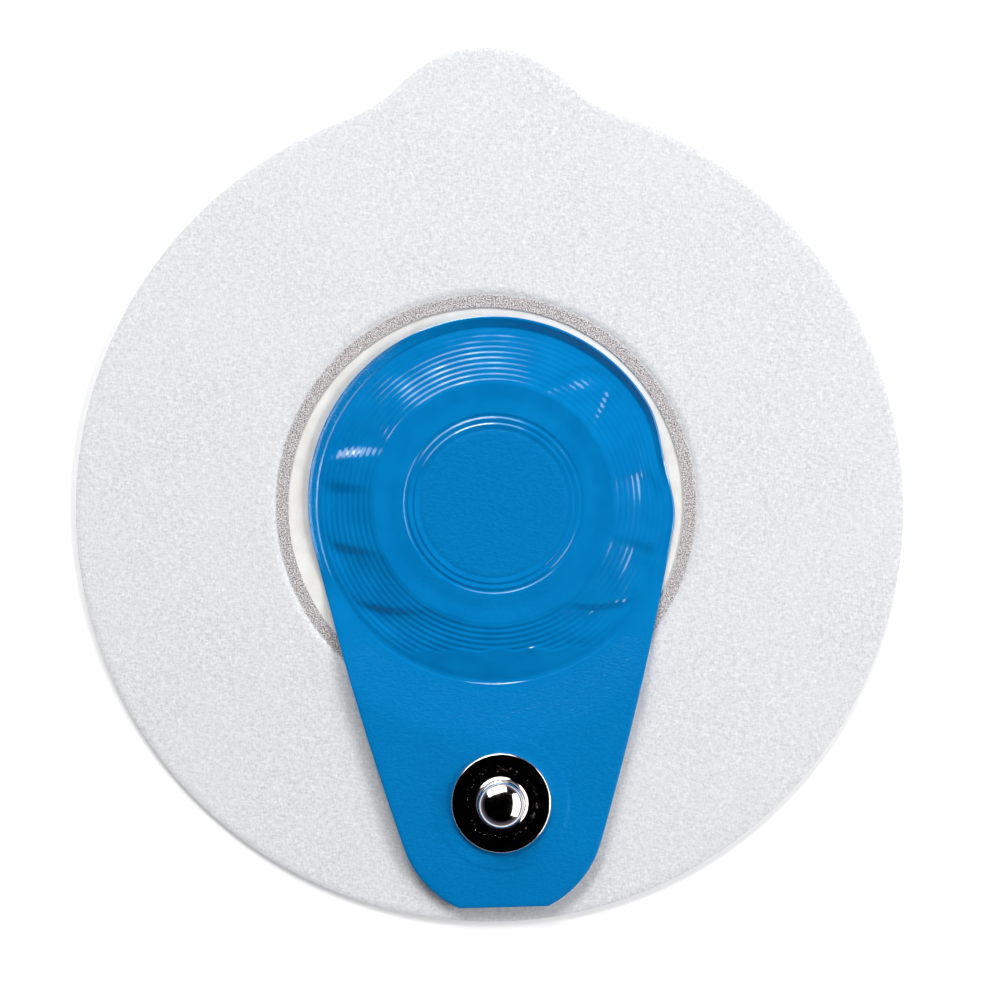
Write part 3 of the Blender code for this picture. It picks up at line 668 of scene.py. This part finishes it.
def grooves(radius, angle, x, y):
    """Ring grooves that end on a wavy line before the flap, where the film steps up a little."""
    share = between(radius, GROOVE_START, GROOVE_STOP)
    faint = OUTER_FAINT * smoothstep(radius, *OUTER_FAINT_START) * hump_at(angle, *OUTER_FAINT_SECTOR)
    end = GROOVE_END_Y + GROOVE_END_WAVE * ripple(x, y, *GROOVE_END_TURNS)
    depth = np.interp(angle % 360.0, *zip(*GROOVE_DEPTHS), period=360.0)
    phase = 2.0 * np.pi * (radius - GROOVE_INNER) / GROOVE_PITCH
    relief = -0.5 * depth * np.cos(phase) * share * (1.0 - faint)
    relief = relief * smoothstep(y, end, end + GROOVE_END_FADE)
    peaks = sum(high * hump(x - place, half) for place, half, high in LENS_PEAKS)
    step = LENS_STEP + peaks * smoothstep(y, end - LENS_PEAK_LENGTH, end)
    step = step * smoothstep(y, end + LENS_STEP_WIDTH, end) * (1.0 - smoothstep(radius, *LENS_STEP_STOP))
    return relief + step


def folds(radius, angle):
    """Folds of the pressed film: each drops steeply from its crest and comes up again slowly."""
    height = np.zeros_like(radius)
    for crest, bottom, far, deep, twist in FOLDS:
        side = math.copysign(1.0, bottom - crest)
        past = wrapped(angle - crest - twist * (radius - FOLD_MIDDLE)) * side
        fall = smoothstep(past, 0.0, abs(bottom - crest))
        back = 1.0 - smoothstep(past, abs(bottom - crest), abs(far - crest))
        height = height - deep * fall * back
    return height * ramp(radius, *FOLD_INNER) * (1.0 - smoothstep(radius, *FOLD_OUTER))


def uneven(radius, x, y):
    """Slight waves of the film between the disc and its rim."""
    first, second = UNEVEN_WAVES
    wave = ripple(x, y, *first) * ripple(x, y, *second)
    return UNEVEN * wave * between(radius, UNEVEN_START, UNEVEN_STOP)


def south_lift(angle):
    """How far the flap draws up the seam, by direction."""
    return SOUTH_LIFT * facing(angle, SOUTH, *SOUTH_SIDE)


def film_place(x, y):
    """Where the pushed-in rim leaves a point of the flat film."""
    radius, angle = from_chamber(x, y)
    reach = smoothstep(radius, GROOVE_OUTER - KINK_REACH, GROOVE_OUTER)
    inward = KINK_DEPTH * hump_at(angle, *KINK) * reach
    share = (radius - inward) / np.maximum(radius, TINY)
    return CHAMBER[0] + (x - CHAMBER[0]) * share, CHAMBER[1] + (y - CHAMBER[1]) * share


def rim_lift(radius, angle, reach):
    """Free rim of the film: a small steep lip at the dome's foot, then a curl up to its cut edge."""
    start = SEAT_RADIUS + RIM_LIP_WIDTH
    lip = RIM_LIP * smoothstep(radius, SEAT_RADIUS, start)
    across = np.clip((radius - start) / np.maximum(reach - start, TINY), 0.0, 1.0)
    beyond_hinge = np.maximum(across - RIM_HINGE, 0.0) / (1.0 - RIM_HINGE)
    curled = RIM_TILT * across + (1.0 - RIM_TILT) * beyond_hinge
    rise = RIM_RISE + RIM_RISE_NORTH * hump_at(angle, *RIM_NORTH)
    roll = RIM_ROLL * smoothstep(radius, reach - CUT_WIDTH, reach)
    free = lip + rise * (across + facing(angle, *RIM_WEST) * (curled - across)) - roll
    return free * facing(angle, *RIM_FREE)


def arc_step(radius, angle):
    """Small step along the seam that carries the dome's round on across the flap."""
    step = ARC_STEP * facing(angle, SOUTH, *ARC_SIDE) + ARC_STEP_MIDDLE * hump_at(angle, *ARC_MIDDLE)
    return step * smoothstep(radius, ARC_RADIUS, ARC_RADIUS + ARC_WIDTH)


def dome_level(x, y, bent):
    """Height of the dome with its ring, grooves and folds; bent is the radius after the push."""
    radius, angle = from_chamber(x, y)
    middle, half, fainter = RING_FAINT
    faint = fainter * hump_at(angle, middle, half) * (1.0 - smoothstep(radius, RING_EDGE, DISH_RADIUS))
    dome = DOME_HEIGHT + (np.interp(bent, *dome_curve()) - DOME_HEIGHT) * (1.0 - faint)
    dome = dome + folds(radius, angle) + grooves(radius, angle, x, y) + uneven(radius, x, y)
    return dome + south_lift(angle) * ramp(radius, GROOVE_INNER, SEAT_RADIUS)


def flap_level(x, y):
    """Height of the flap, lower around the washer and drawn up with the seam."""
    radius, angle = from_chamber(x, y)
    flap = np.interp(np.maximum(-y, radius - CHAMBER[1]), *flap_curve())
    flap = flap + south_lift(angle) * ramp(flap, FLAP_LEVEL, SEAT_TOP)
    around = direction(x, y, STUD_CENTRE)
    drop = STEP_DROP + STEP_DROP_EAST * hump_at(around, *STEP_EAST)
    drop = drop + STEP_DROP_SOUTH * hump_at(around, *STEP_SOUTH)
    return flap - drop * smoothstep(distance(x, y, STUD_CENTRE), WASHER_RADIUS, WASHER_RADIUS + STEP_WIDTH)


def film_surface(x, y, reach, edge_gap):
    """Where the film's upper face lies over the flat point (x, y)."""
    px, py = film_place(x, y)
    radius, angle = from_chamber(x, y)
    flap_side = facing(angle, SOUTH, *FLAP_SIDE_EDGE)
    share = smoothstep(radius, *FLAP_SEAM) * flap_side
    dome = dome_level(x, y, distance(px, py, CHAMBER))
    level = dome + share * (flap_level(x, y) - dome) + arc_step(radius, angle) * flap_side
    level = level - CUT_DROP * (1.0 - smoothstep(edge_gap, 0.0, CUT_WIDTH))
    return np.stack([px, py, level + rim_lift(radius, angle, reach)], axis=1)


def hex_points(low, high, spacing):
    """Points of a triangular pattern in a rectangle."""
    rows = np.arange(low[1], high[1], spacing * math.sqrt(0.75))
    points = []
    for number, row in enumerate(rows):
        columns = np.arange(low[0] + 0.5 * spacing * (number % 2), high[0], spacing)
        points.append(np.stack([columns, np.full(len(columns), row)], axis=1))
    return np.concatenate(points)


def nearest(points, others):
    """Distance from each point to the closest of the others."""
    return np.array([np.hypot(*(others - point).T).min() for point in points])


def flap_net(border, inset, hole):
    """Triangles that fill the flap between its border and the stud's hole."""
    rings = [arc(STUD_CENTRE, WASHER_RADIUS + off, 0.0, 360.0, WASHER_TURNS)[:-1] for off in WASHER_RINGS]
    filling = hex_points(border.min(axis=0), border.max(axis=0), FLAP_SPACING)
    off_stud = distance(filling[:, 0], filling[:, 1], STUD_CENTRE)
    ring_zone = (off_stud > WASHER_ZONE[0]) & (off_stud < WASHER_ZONE[1])
    filling = filling[~ring_zone & (off_stud > HOLE_RADIUS + HOLE_MARGIN)]
    filling = np.concatenate([filling, *rings])
    filling = filling[inside(filling, border)]
    filling = filling[nearest(filling, border) > BORDER_MARGIN]
    points = np.concatenate([border, hole, inset, filling])
    loops = [(0, len(border)), (len(border), len(hole))]
    edges = [(first + step, first + (step + 1) % count) for first, count in loops for step in range(count)]
    start = len(border) + len(hole)
    edges += [(start + step, start + step + 1) for step in range(len(inset) - 1)]
    corners = [Vector(point) for point in points]
    found, _, faces, *_ = delaunay_2d_cdt(corners, edges, [], WHOLE_HULL, TINY)
    found = np.array([tuple(point) for point in found])
    middles = np.array([found[list(face)].mean(axis=0) for face in faces])
    kept = inside(middles, border) & ~inside(middles, hole)
    return found, [tuple(face) for face, keep in zip(faces, kept) if keep]


def around_chamber(points):
    """Direction of points from the chamber's middle, 0 to 360."""
    return direction(points[:, 0], points[:, 1], CHAMBER) % 360.0


def last_ring(angles, reach, on_flap):
    """Radii of the net's last ring: at the cut edge, or along the seal where the flap begins."""
    blend = smoothstep(np.minimum(angles - FLAP_FROM, FLAP_TO - angles), 0.0, FLAP_BLEND)
    return np.minimum(np.where(on_flap, reach + (SEAL_RADIUS - reach) * blend, reach), reach)


def flap_edge(outline, seam, angles, last):
    """Points of the cut edge beyond the seam, in order of direction."""
    first, final = around_chamber(seam[[0, -1]])
    around = around_chamber(outline)
    edge = outline[(around > first + EDGE_MARGIN) & (around < final - EDGE_MARGIN)]
    edge = edge[np.argsort(around_chamber(edge))]
    seam_far = np.interp(around_chamber(edge), angles, last)
    return edge[distance(edge[:, 0], edge[:, 1], CHAMBER) > seam_far + SEAM_MARGIN]


def inset_edge(edge, border):
    """The flap's cut edge drawn in to where its rounding begins."""
    along = np.roll(edge, -1, axis=0) - np.roll(edge, 1, axis=0)
    inward = np.stack([-along[:, 1], along[:, 0]], axis=1) / np.hypot(along[:, 0], along[:, 1])[:, None]
    inset = (edge + CUT_WIDTH * inward)[INSET_ENDS:-INSET_ENDS]
    return inset[nearest(inset, border) > INSET_CLEARANCE * CUT_WIDTH]


def joined_index(found, seam, shared, count):
    """Number of each flap point in the whole net, and the points that are new to it."""
    index = {}
    for number, point in enumerate(found):
        gaps = np.hypot(*(seam - point).T)
        closest = int(gaps.argmin())
        if gaps[closest] < SAME_POINT:
            index[number] = shared[closest]
    extra = [number for number in range(len(found)) if number not in index]
    for place, number in enumerate(extra):
        index[number] = count + place
    return index, extra


def film_net(outline, angles, reach):
    """Flat net of the film: rings over the chamber, then triangles on the flap."""
    on_flap = (angles > FLAP_FROM) & (angles < FLAP_TO)
    last = last_ring(angles, reach, on_flap)
    lip = [SEAT_RADIUS + RIM_LIP_WIDTH * share for share in LIP_SHARES]
    radii = [*np.concatenate([np.linspace(*band) for band in FILM_BANDS]), *lip]
    radii += [lip[-1] + (last - lip[-1]) * share for share in RIM_SHARES]
    x, y, faces = ring_net(CHAMBER, radii, FILM_TURNS)

    # The flap's net shares the points of the last ring between its two flanks
    final = len(x) - FILM_TURNS
    shared = [final + step for step in range(FILM_TURNS) if FLAP_FROM <= angles[step] <= FLAP_TO]
    seam = np.stack([x[shared], y[shared]], axis=1)
    edge = flap_edge(outline, seam, angles[on_flap], last[on_flap])
    border = np.concatenate([edge, seam[::-1]])
    hole = arc(STUD_CENTRE, HOLE_RADIUS, 0.0, 360.0, HOLE_TURNS)[:-1]
    found, flap_faces = flap_net(border, inset_edge(edge, border), hole)
    index, extra = joined_index(found, seam, shared, len(x))
    faces += [tuple(index[number] for number in face) for face in flap_faces]
    return np.concatenate([x, found[extra, 0]]), np.concatenate([y, found[extra, 1]]), faces, len(extra)


def top_film():
    angles = np.arange(FILM_TURNS) * 360.0 / FILM_TURNS
    outline = film_outline()
    reach = reach_of(outline, CHAMBER, angles)
    x, y, faces, flap_count = film_net(outline, angles, reach)
    radius, angle = from_chamber(x, y)
    edge_reach = np.interp(angle % 360.0, angles, reach, period=360.0)
    edge_gap = edge_reach - radius
    edge_gap[-flap_count:] = nearest(np.stack([x, y], axis=1)[-flap_count:], outline)
    top = film_surface(x, y, edge_reach, edge_gap)
    tilted = 0.5 * smoothstep(radius, *UNDER_TILT)[:, None]
    under = net_normals(top, faces) * tilted + np.array([0.0, 0.0, 1.0]) * (1.0 - tilted)
    bottom = top - FILM_THICKNESS * under / np.linalg.norm(under, axis=1, keepdims=True)
    piece = shell("blue_film", top, bottom, faces)
    write_mask(piece, "emboss", np.tile(emboss_mask(x, y), 2))
    write_mask(piece, "rim", np.tile(rim_mask(x, y), 2))
    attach(piece, BODY)
    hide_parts("top_film")
    return piece


def emboss_mask(x, y):
    """1 where the film keeps its fine emboss, 0 where it was drawn smooth."""
    radius, angle = from_chamber(x, y)
    disc = 1.0 - smoothstep(radius, *EMBOSS_DISC)
    flap = smoothstep(radius, *EMBOSS_FLAP) * facing(angle, SOUTH, *EMBOSS_FLAP_SIDE)
    south = EMBOSS_SOUTH * between(radius, EMBOSS_SOUTH_START, EMBOSS_SOUTH_STOP)
    south = south * facing(angle, SOUTH, *EMBOSS_SOUTH_SIDE)
    return np.maximum(np.maximum(disc, south), flap)


def rim_mask(x, y):
    """1 on the rough west side of the film's rim."""
    radius, angle = from_chamber(x, y)
    rough = smoothstep(radius, *RIM_ROUGH_START) * facing(angle, *RIM_WEST)
    return rough * (1.0 - facing(angle, SOUTH, FLAP_SIDE, FLAP_SIDE + RIM_ROUGH_FADE))


# Stud


def stud_outline():
    """(radius, height) of the stud's outer side, from its underside up to the crown."""
    flange_top = FLANGE_BOTTOM + FLANGE_THICKNESS
    edge = 0.5 * FLANGE_THICKNESS
    tilt = math.degrees(math.asin(CROWN_WIDTH / CROWN_RADIUS))
    shoulder = (HEAD_RADIUS - CROWN_WIDTH) / (1.0 - CROWN_WIDTH / CROWN_RADIUS)
    land = CROWN - CROWN_RADIUS + (CROWN_RADIUS - shoulder) * math.cos(math.radians(tilt))
    neck = NECK_RADIUS + NECK_FILLET
    flat = np.linspace(FLANGE_RADIUS - 1.5 * RIM_BULGE, neck, FLAT_STEPS)[:-1]
    rim = [(FLANGE_RADIUS - RIM_BULGE * (1.0 - across / edge), height)
           for across, height in arc((0.0, FLANGE_BOTTOM + edge), edge, -90.0, 90.0, RIM_STEPS)]
    return [
        (STUD_BORE, FLANGE_BOTTOM),
        *rim,
        *[(radius, flange_top) for radius in flat],
        *arc((neck, flange_top + NECK_FILLET), NECK_FILLET, 270.0, 180.0, CURVE_STEPS),
        *arc((HEAD_RADIUS - UNDER_RADIUS, land - HEAD_LAND), UNDER_RADIUS, -UNDER_ANGLE, 0.0, UNDER_STEPS),
        *arc((HEAD_RADIUS - shoulder, land), shoulder, 0.0, 90.0 - tilt, CURVE_STEPS),
        *arc((0.0, CROWN - CROWN_RADIUS), CROWN_RADIUS, 90.0 - tilt, 90.0, CURVE_STEPS)[1:-1],
        (0.0, CROWN),
    ]


def stud_hollow():
    """Inner side of the drawn stud, from the middle of its roof down to its mouth."""
    roof = CROWN - SHELL_THICKNESS
    wide = HEAD_RADIUS - SHELL_THICKNESS
    mouth = FLANGE_BOTTOM + MOUTH_LENGTH
    to_shoulder, to_wall = ROOF_FALL
    return [
        (0.0, roof),
        (CROWN_WIDTH - SHELL_THICKNESS, roof - to_shoulder),
        (wide, roof - to_wall),
        (wide, mouth + SHELL_THICKNESS),
        (STUD_BORE, mouth),
        (STUD_BORE, FLANGE_BOTTOM),
    ]


def turned(name, centre, outline, turns):
    """Turned surface from the axis or a bore along an outline of (radius, height) points."""
    vertices = []
    rings = []
    spin = np.radians(np.arange(turns) * 360.0 / turns)
    for radius, height in outline:
        if radius < TINY:
            rings.append([len(vertices)] * turns)
            vertices.append((centre[0], centre[1], height))
        else:
            rings.append(list(range(len(vertices), len(vertices) + turns)))
            x = centre[0] + radius * np.cos(spin)
            y = centre[1] + radius * np.sin(spin)
            vertices += list(zip(x, y, np.full(turns, height)))
    faces = []
    for near, far in zip(rings, rings[1:]):
        for step in range(turns):
            after = (step + 1) % turns
            corners = list(dict.fromkeys([near[step], near[after], far[after], far[step]]))
            if len(corners) > 2:
                faces.append(tuple(corners))
    return new_object(name, vertices, faces)


def snap_stud():
    outline = stud_outline() + stud_hollow()
    piece = turned("snap_stud_polished", STUD_CENTRE, outline, STUD_TURNS)
    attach(piece, BODY)
    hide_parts("snap_stud")
    return piece


# Gel sponge


def gel_sponge():
    """Foam disc with open cells on its skin side, a soft edge and the sensor's recess."""
    radii = [*np.linspace(0.0, SPONGE_FIELD, SPONGE_RINGS)[1:], *SPONGE_EDGE_RINGS]
    x, y, faces = ring_net(CHAMBER, radii, SPONGE_TURNS)
    rough = np.random.default_rng(PORE_SEED).random(len(x))
    radius = distance(x, y, CHAMBER)
    edge = smoothstep(radius, *SPONGE_EDGE)
    low = SPONGE_BOTTOM + PORE_DEPTH * rough * (1.0 - edge) + SPONGE_EDGE_ROUND * edge
    recess = RECESS_DEPTH * (1.0 - smoothstep(radius, *RECESS))
    high = SPONGE_TOP - PORE_DEPTH_TOP * rough - SPONGE_EDGE_ROUND * edge - recess
    piece = shell("gel_foam_disc", np.stack([x, y, high], axis=1), np.stack([x, y, low], axis=1), faces)
    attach(piece, BODY)
    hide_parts("gel_sponge")
    return piece


# Finishes


def srgb(red, green, blue):
    """A colour on the picture's 0 to 255 scale as linear light."""
    linear = [value / 255.0 for value in (red, green, blue)]
    return tuple(v / 12.92 if v <= 0.04045 else ((v + 0.055) / 1.055) ** 2.4 for v in linear) + (1.0,)


class Nodes:
    """A node tree and short calls for its nodes."""

    def __init__(self, tree):
        self.tree = tree

    def add(self, kind, inputs=None, **settings):
        """A new node whose inputs, by name or number, are linked to sockets or set to values."""
        made = self.tree.nodes.new(kind)
        for key, value in settings.items():
            setattr(made, key, value)
        for key, value in (inputs or {}).items():
            if isinstance(value, bpy.types.NodeSocket):
                self.tree.links.new(value, made.inputs[key])
            else:
                made.inputs[key].default_value = value
        return made

    def span(self, value, low, high, start=0.0, end=1.0, kind="LINEAR"):
        """A value between low and high brought between start and end."""
        inputs = {"Value": value, "From Min": low, "From Max": high, "To Min": start, "To Max": end}
        return self.add("ShaderNodeMapRange", inputs, interpolation_type=kind).outputs[0]

    def math(self, operation, first, second):
        return self.add("ShaderNodeMath", {0: first, 1: second}, operation=operation).outputs[0]

    def mix_colour(self, share, first, second):
        inputs = {MIX_SHARE: share, MIX_FIRST: first, MIX_SECOND: second}
        return self.add("ShaderNodeMix", inputs, data_type="RGBA").outputs[MIX_COLOUR]


class Finish(Nodes):
    """A Principled material and short calls for its nodes."""

    def __init__(self, name, **sockets):
        self.material = bpy.data.materials.new(name)
        self.material.use_nodes = True
        super().__init__(self.material.node_tree)
        self.shader = self.tree.nodes["Principled BSDF"]
        for socket, value in sockets.items():
            self.shader.inputs[socket.replace("_", " ")].default_value = value
        self.place = self.add("ShaderNodeTexCoord").outputs["Object"]

    def tones(self, value, low, high, dark, light):
        """A dark colour where a value is low, a light one where it is high."""
        return self.mix_colour(self.span(value, low, high), srgb(*dark), srgb(*light))

    def noise(self, size, detail=3.0, rough=0.6, stretch=(1.0, 1.0, 1.0), turn=0.0, warp=0.0):
        """Noise whose features are about so many millimetres wide."""
        spin = (0.0, 0.0, math.radians(turn))
        scaled = self.add("ShaderNodeMapping", {"Vector": self.place, "Scale": stretch, "Rotation": spin})
        inputs = {"Vector": scaled.outputs[0], "Scale": 1.0 / (size * MM),
                  "Detail": detail, "Roughness": rough, "Distortion": warp}
        return self.add("ShaderNodeTexNoise", inputs).outputs["Fac"]

    def smooth_span(self, value, low, high):
        """A span from 0 to 1 with rounded ends."""
        return self.span(value, low, high, kind="SMOOTHSTEP")

    def radius_from(self, centre):
        """Distance from an upright axis, in millimetres."""
        axis = (centre[0] * MM, centre[1] * MM, 0.0)
        flatten = (1.0 / MM, 1.0 / MM, 0.0)
        kind = "ShaderNodeVectorMath"
        moved = self.add(kind, {0: self.place, 1: axis}, operation="SUBTRACT")
        flat = self.add(kind, {0: moved.outputs[0], 1: flatten}, operation="MULTIPLY")
        return self.add(kind, {0: flat.outputs[0]}, operation="LENGTH").outputs["Value"]

    def bump(self, height, depth, under=None):
        """Relief of so many millimetres, laid over another one."""
        inputs = {"Height": height, "Distance": depth * MM, "Strength": 1.0}
        if under is not None:
            inputs["Normal"] = under
        return self.add("ShaderNodeBump", inputs).outputs[0]

    def link(self, socket, value):
        self.tree.links.new(value, self.shader.inputs[socket])

    def on(self, piece):
        piece.data.materials.clear()
        piece.data.materials.append(self.material)


def nonwoven_finish():
    """Bonded white fibres, greyed and grainy where they are welded to the cup."""
    finish = Finish("nonwoven", Roughness=0.85)
    finish.shader.inputs["Specular IOR Level"].default_value = 0.25
    along = finish.noise(0.42, detail=5.0, rough=0.65, stretch=(1.0, 2.1, 1.0), turn=24.0, warp=0.6)
    cross = finish.noise(0.36, detail=4.0, rough=0.6, stretch=(2.2, 1.0, 1.0), turn=-18.0, warp=0.5)
    clouds = finish.noise(9.0, detail=2.0, rough=0.5)
    weave = finish.math("ADD", finish.math("MULTIPLY", along, 0.55), finish.math("MULTIPLY", cross, 0.45))
    pale = finish.tones(weave, 0.32, 0.68, (195, 198, 204), (251, 252, 253))
    pale = finish.mix_colour(finish.span(clouds, 0.35, 0.65, 0.0, 0.30), pale, srgb(233, 233, 237))
    wander = finish.span(finish.noise(0.30), 0.3, 0.7, -0.07, 0.07)
    ragged = finish.math("ADD", finish.radius_from(WELD_CENTRE), wander)
    beyond = finish.smooth_span(ragged, *GREY_START)
    welded = finish.math("MULTIPLY", beyond, finish.smooth_span(ragged, *GREY_STOP))
    grain = finish.noise(0.11, detail=2.0, rough=0.75)
    speck = finish.tones(grain, 0.38, 0.60, (104, 92, 94), (236, 232, 232))
    finish.link("Base Color", finish.mix_colour(welded, pale, speck))
    pits = finish.math("MULTIPLY", grain, welded)
    finish.link("Normal", finish.bump(pits, 0.05, finish.bump(weave, 0.05)))
    return finish


def film_finish():
    """Blue film: fine emboss where the mask says, drawn smooth and glossy elsewhere."""
    finish = Finish("blue_film", IOR=1.7)
    mask = finish.add("ShaderNodeAttribute", attribute_name="emboss").outputs["Fac"]
    rim = finish.add("ShaderNodeAttribute", attribute_name="rim").outputs["Fac"]
    cells = finish.noise(0.34, stretch=(1.0, 1.9, 1.0), turn=8.0, warp=0.4)
    waves = finish.noise(2.4, detail=2.0, rough=0.5)
    grit = finish.noise(0.15, detail=2.0, rough=0.7)
    embossed = finish.tones(cells, 0.3, 0.7, (3, 121, 190), (7, 130, 199))
    plain = finish.tones(waves, 0.35, 0.65, (3, 122, 191), (5, 129, 198))
    finish.link("Base Color", finish.mix_colour(mask, plain, embossed))
    finish.link("Roughness", finish.span(mask, 0.0, 1.0, 0.10, 0.17))
    relief = finish.bump(finish.math("MULTIPLY", cells, mask), 0.034)
    relief = finish.bump(finish.math("MULTIPLY", grit, rim), 0.055, relief)
    finish.link("Normal", finish.bump(waves, 0.012, relief))
    return finish


def stud_finish():
    """Polished nickel with slight wear and a few rough specks on the flange."""
    finish = Finish("polished_nickel", Metallic=1.0)
    wear = finish.noise(0.5, detail=4.0)
    finish.link("Base Color", finish.tones(wear, 0.3, 0.7, (232, 224, 218), (243, 238, 232)))
    finish.link("Roughness", finish.span(wear, 0.3, 0.7, 0.05, 0.12))
    radius = finish.radius_from(STUD_CENTRE)
    inner, middle, outer = SPECK_RADII
    outside = finish.smooth_span(radius, inner, middle)
    near = finish.math("MULTIPLY", outside, finish.smooth_span(radius, outer, middle))
    specks = finish.smooth_span(finish.noise(0.07, detail=1.0), 0.70, 0.78)
    finish.link("Normal", finish.bump(finish.math("MULTIPLY", specks, near), 0.006))
    return finish


def cup_finish():
    finish = Finish("cream_plastic", Roughness=0.5)
    drift = finish.noise(1.6, detail=4.0)
    finish.link("Base Color", finish.tones(drift, 0.3, 0.7, (233, 231, 225), (246, 246, 243)))
    finish.link("Normal", finish.bump(finish.noise(0.2), 0.01))
    return finish


def foam_finish():
    finish = Finish("gel_foam", Roughness=0.3)
    finish.shader.inputs["Subsurface Weight"].default_value = 0.2
    finish.shader.inputs["Subsurface Radius"].default_value = (MM, MM, MM)
    inputs = {"Vector": finish.place, "Scale": 1.0 / (0.45 * MM)}
    cells = finish.add("ShaderNodeTexVoronoi", inputs).outputs["Distance"]
    finish.link("Base Color", finish.tones(cells, 0.1, 0.6, (196, 202, 208), (240, 243, 245)))
    finish.link("Normal", finish.bump(cells, 0.08))
    return finish


def plain_finish(name, dark, light, roughness, size, depth, metallic):
    """A finish with mottled colour and fine relief, for the small pieces under the film."""
    finish = Finish(name, Roughness=roughness, Metallic=metallic)
    mottle = finish.noise(size, detail=4.0)
    finish.link("Base Color", finish.tones(mottle, 0.3, 0.7, dark, light))
    finish.link("Normal", finish.bump(mottle, depth))
    return finish


# By node: its slot, then its finish with name, dark and light colour, roughness, size of the
# mottling, depth of the relief and how metallic it is
PLAIN_PIECES = {
    "skin_adhesive": (
        "adhesive", ("clear_adhesive", (226, 224, 214), (240, 239, 232), 0.22, 1.2, 0.008, 0.0)),
    "sensor_disc": (
        "sensor_coat", ("silver_chloride", (150, 146, 146), (190, 186, 184), 0.6, 0.3, 0.01, 0.3)),
    "conductor_strip": (
        "carbon_film", ("carbon_film", (42, 42, 45), (60, 60, 63), 0.5, 0.6, 0.005, 0.0)),
    "flap_liner": (
        "clear_film", ("clear_film", (214, 220, 227), (232, 236, 240), 0.35, 2.5, 0.01, 0.0)),
    "stud_eyelet": (
        "nickel_plate", ("eyelet_nickel", (214, 206, 200), (238, 232, 226), 0.2, 0.4, 0.004, 1.0)),
    "stiffening_washer": (
        "washer_plastic", ("washer_plastic", (210, 206, 194), (226, 222, 212), 0.6, 0.5, 0.008, 0.0)),
}


def dress(node, finish):
    """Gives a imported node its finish."""
    piece = frame["nodes"][node]
    finish.on(piece)


# Stage


def floor():
    """Pale ground that also glows faintly to rays that see it, since the studio is dark."""
    corners = [(across * FLOOR_HALF, along * FLOOR_HALF, FLOOR_LEVEL)
               for across, along in ((-1, -1), (1, -1), (1, 1), (-1, 1))]
    made = new_object("floor", corners, [(0, 1, 2, 3)])
    finish = bpy.data.materials.new("pale_floor")
    finish.use_nodes = True
    nodes = Nodes(finish.node_tree)
    nodes.tree.nodes.clear()
    path = nodes.add("ShaderNodeLightPath").outputs
    seen = nodes.math("MAXIMUM", path["Is Camera Ray"], path["Is Glossy Ray"])
    seen = nodes.math("MAXIMUM", seen, path["Is Transmission Ray"])
    matte = nodes.add("ShaderNodeBsdfDiffuse", {"Color": FLOOR_COLOUR})
    glow = nodes.add("ShaderNodeEmission", {"Strength": nodes.math("MULTIPLY", seen, FLOOR_GLOW)})
    both = nodes.add("ShaderNodeAddShader", {0: matte.outputs[0], 1: glow.outputs[0]})
    nodes.add("ShaderNodeOutputMaterial", {"Surface": both.outputs[0]})
    made.data.materials.append(finish)


def world():
    """White to the camera; a faint cool horizon under a dark ceiling for the light on the object."""
    made = bpy.data.worlds.new("studio")
    bpy.context.scene.world = made
    made.use_nodes = True
    nodes = Nodes(made.node_tree)
    nodes.tree.nodes.clear()
    place = nodes.add("ShaderNodeTexCoord").outputs["Generated"]
    up = nodes.add("ShaderNodeSeparateXYZ", {0: place}).outputs["Z"]
    glow = nodes.span(up, CEILING_FROM, HORIZON_TO, 0.0, HORIZON_GLOW, "SMOOTHSTEP")
    to_camera = nodes.add("ShaderNodeLightPath").outputs["Is Camera Ray"]
    tint = nodes.mix_colour(to_camera, HORIZON_TINT, WHITE)
    level = nodes.math("MAXIMUM", to_camera, glow)
    light = nodes.add("ShaderNodeBackground", {"Color": tint, "Strength": level})
    nodes.add("ShaderNodeOutputWorld", {"Surface": light.outputs[0]})


def lamp(name, settings):
    """A softbox aimed at the origin, unseen by the camera."""
    turn, lean, far, width, height, watts = settings
    data = bpy.data.lights.new(name, "AREA")
    data.shape = "RECTANGLE"
    data.size = width * MM
    data.size_y = height * MM
    data.energy = watts
    made = in_scene(name, data)
    out = math.sin(math.radians(lean)) * far * MM
    up = math.cos(math.radians(lean)) * far * MM
    made.location = (out * math.cos(math.radians(turn)), out * math.sin(math.radians(turn)), up)
    made.rotation_euler = (-made.location).to_track_quat("-Z", "Y").to_euler()
    made.visible_camera = False


def camera():
    """Looks straight down; the lens follows from the height and the width to show."""
    data = bpy.data.cameras.new("camera")
    data.sensor_width = SENSOR_WIDTH
    data.lens = SENSOR_WIDTH * (CAMERA_HEIGHT - TAPE_TOP) / VIEW_WIDTH
    data.clip_start = CLIP_START
    made = in_scene("camera", data)
    made.location = (VIEW_POINT[0] * MM, VIEW_POINT[1] * MM, CAMERA_HEIGHT * MM)
    made.rotation_euler = (0.0, 0.0, -math.radians(VIEW_ROLL))
    bpy.context.scene.camera = made


def main():
    camera()
    for name, settings in LAMPS.items():
        lamp(name, settings)
    world()
    floor()
    nonwoven_finish().on(backing_tape())
    film_finish().on(top_film())
    stud_finish().on(snap_stud())
    foam_finish().on(gel_sponge())
    dress("gel_cup", cup_finish())
    for node, (slot_name, settings) in PLAIN_PIECES.items():
        dress(node, plain_finish(*settings))
    bpy.context.scene.view_settings.view_transform = "Standard"


main()
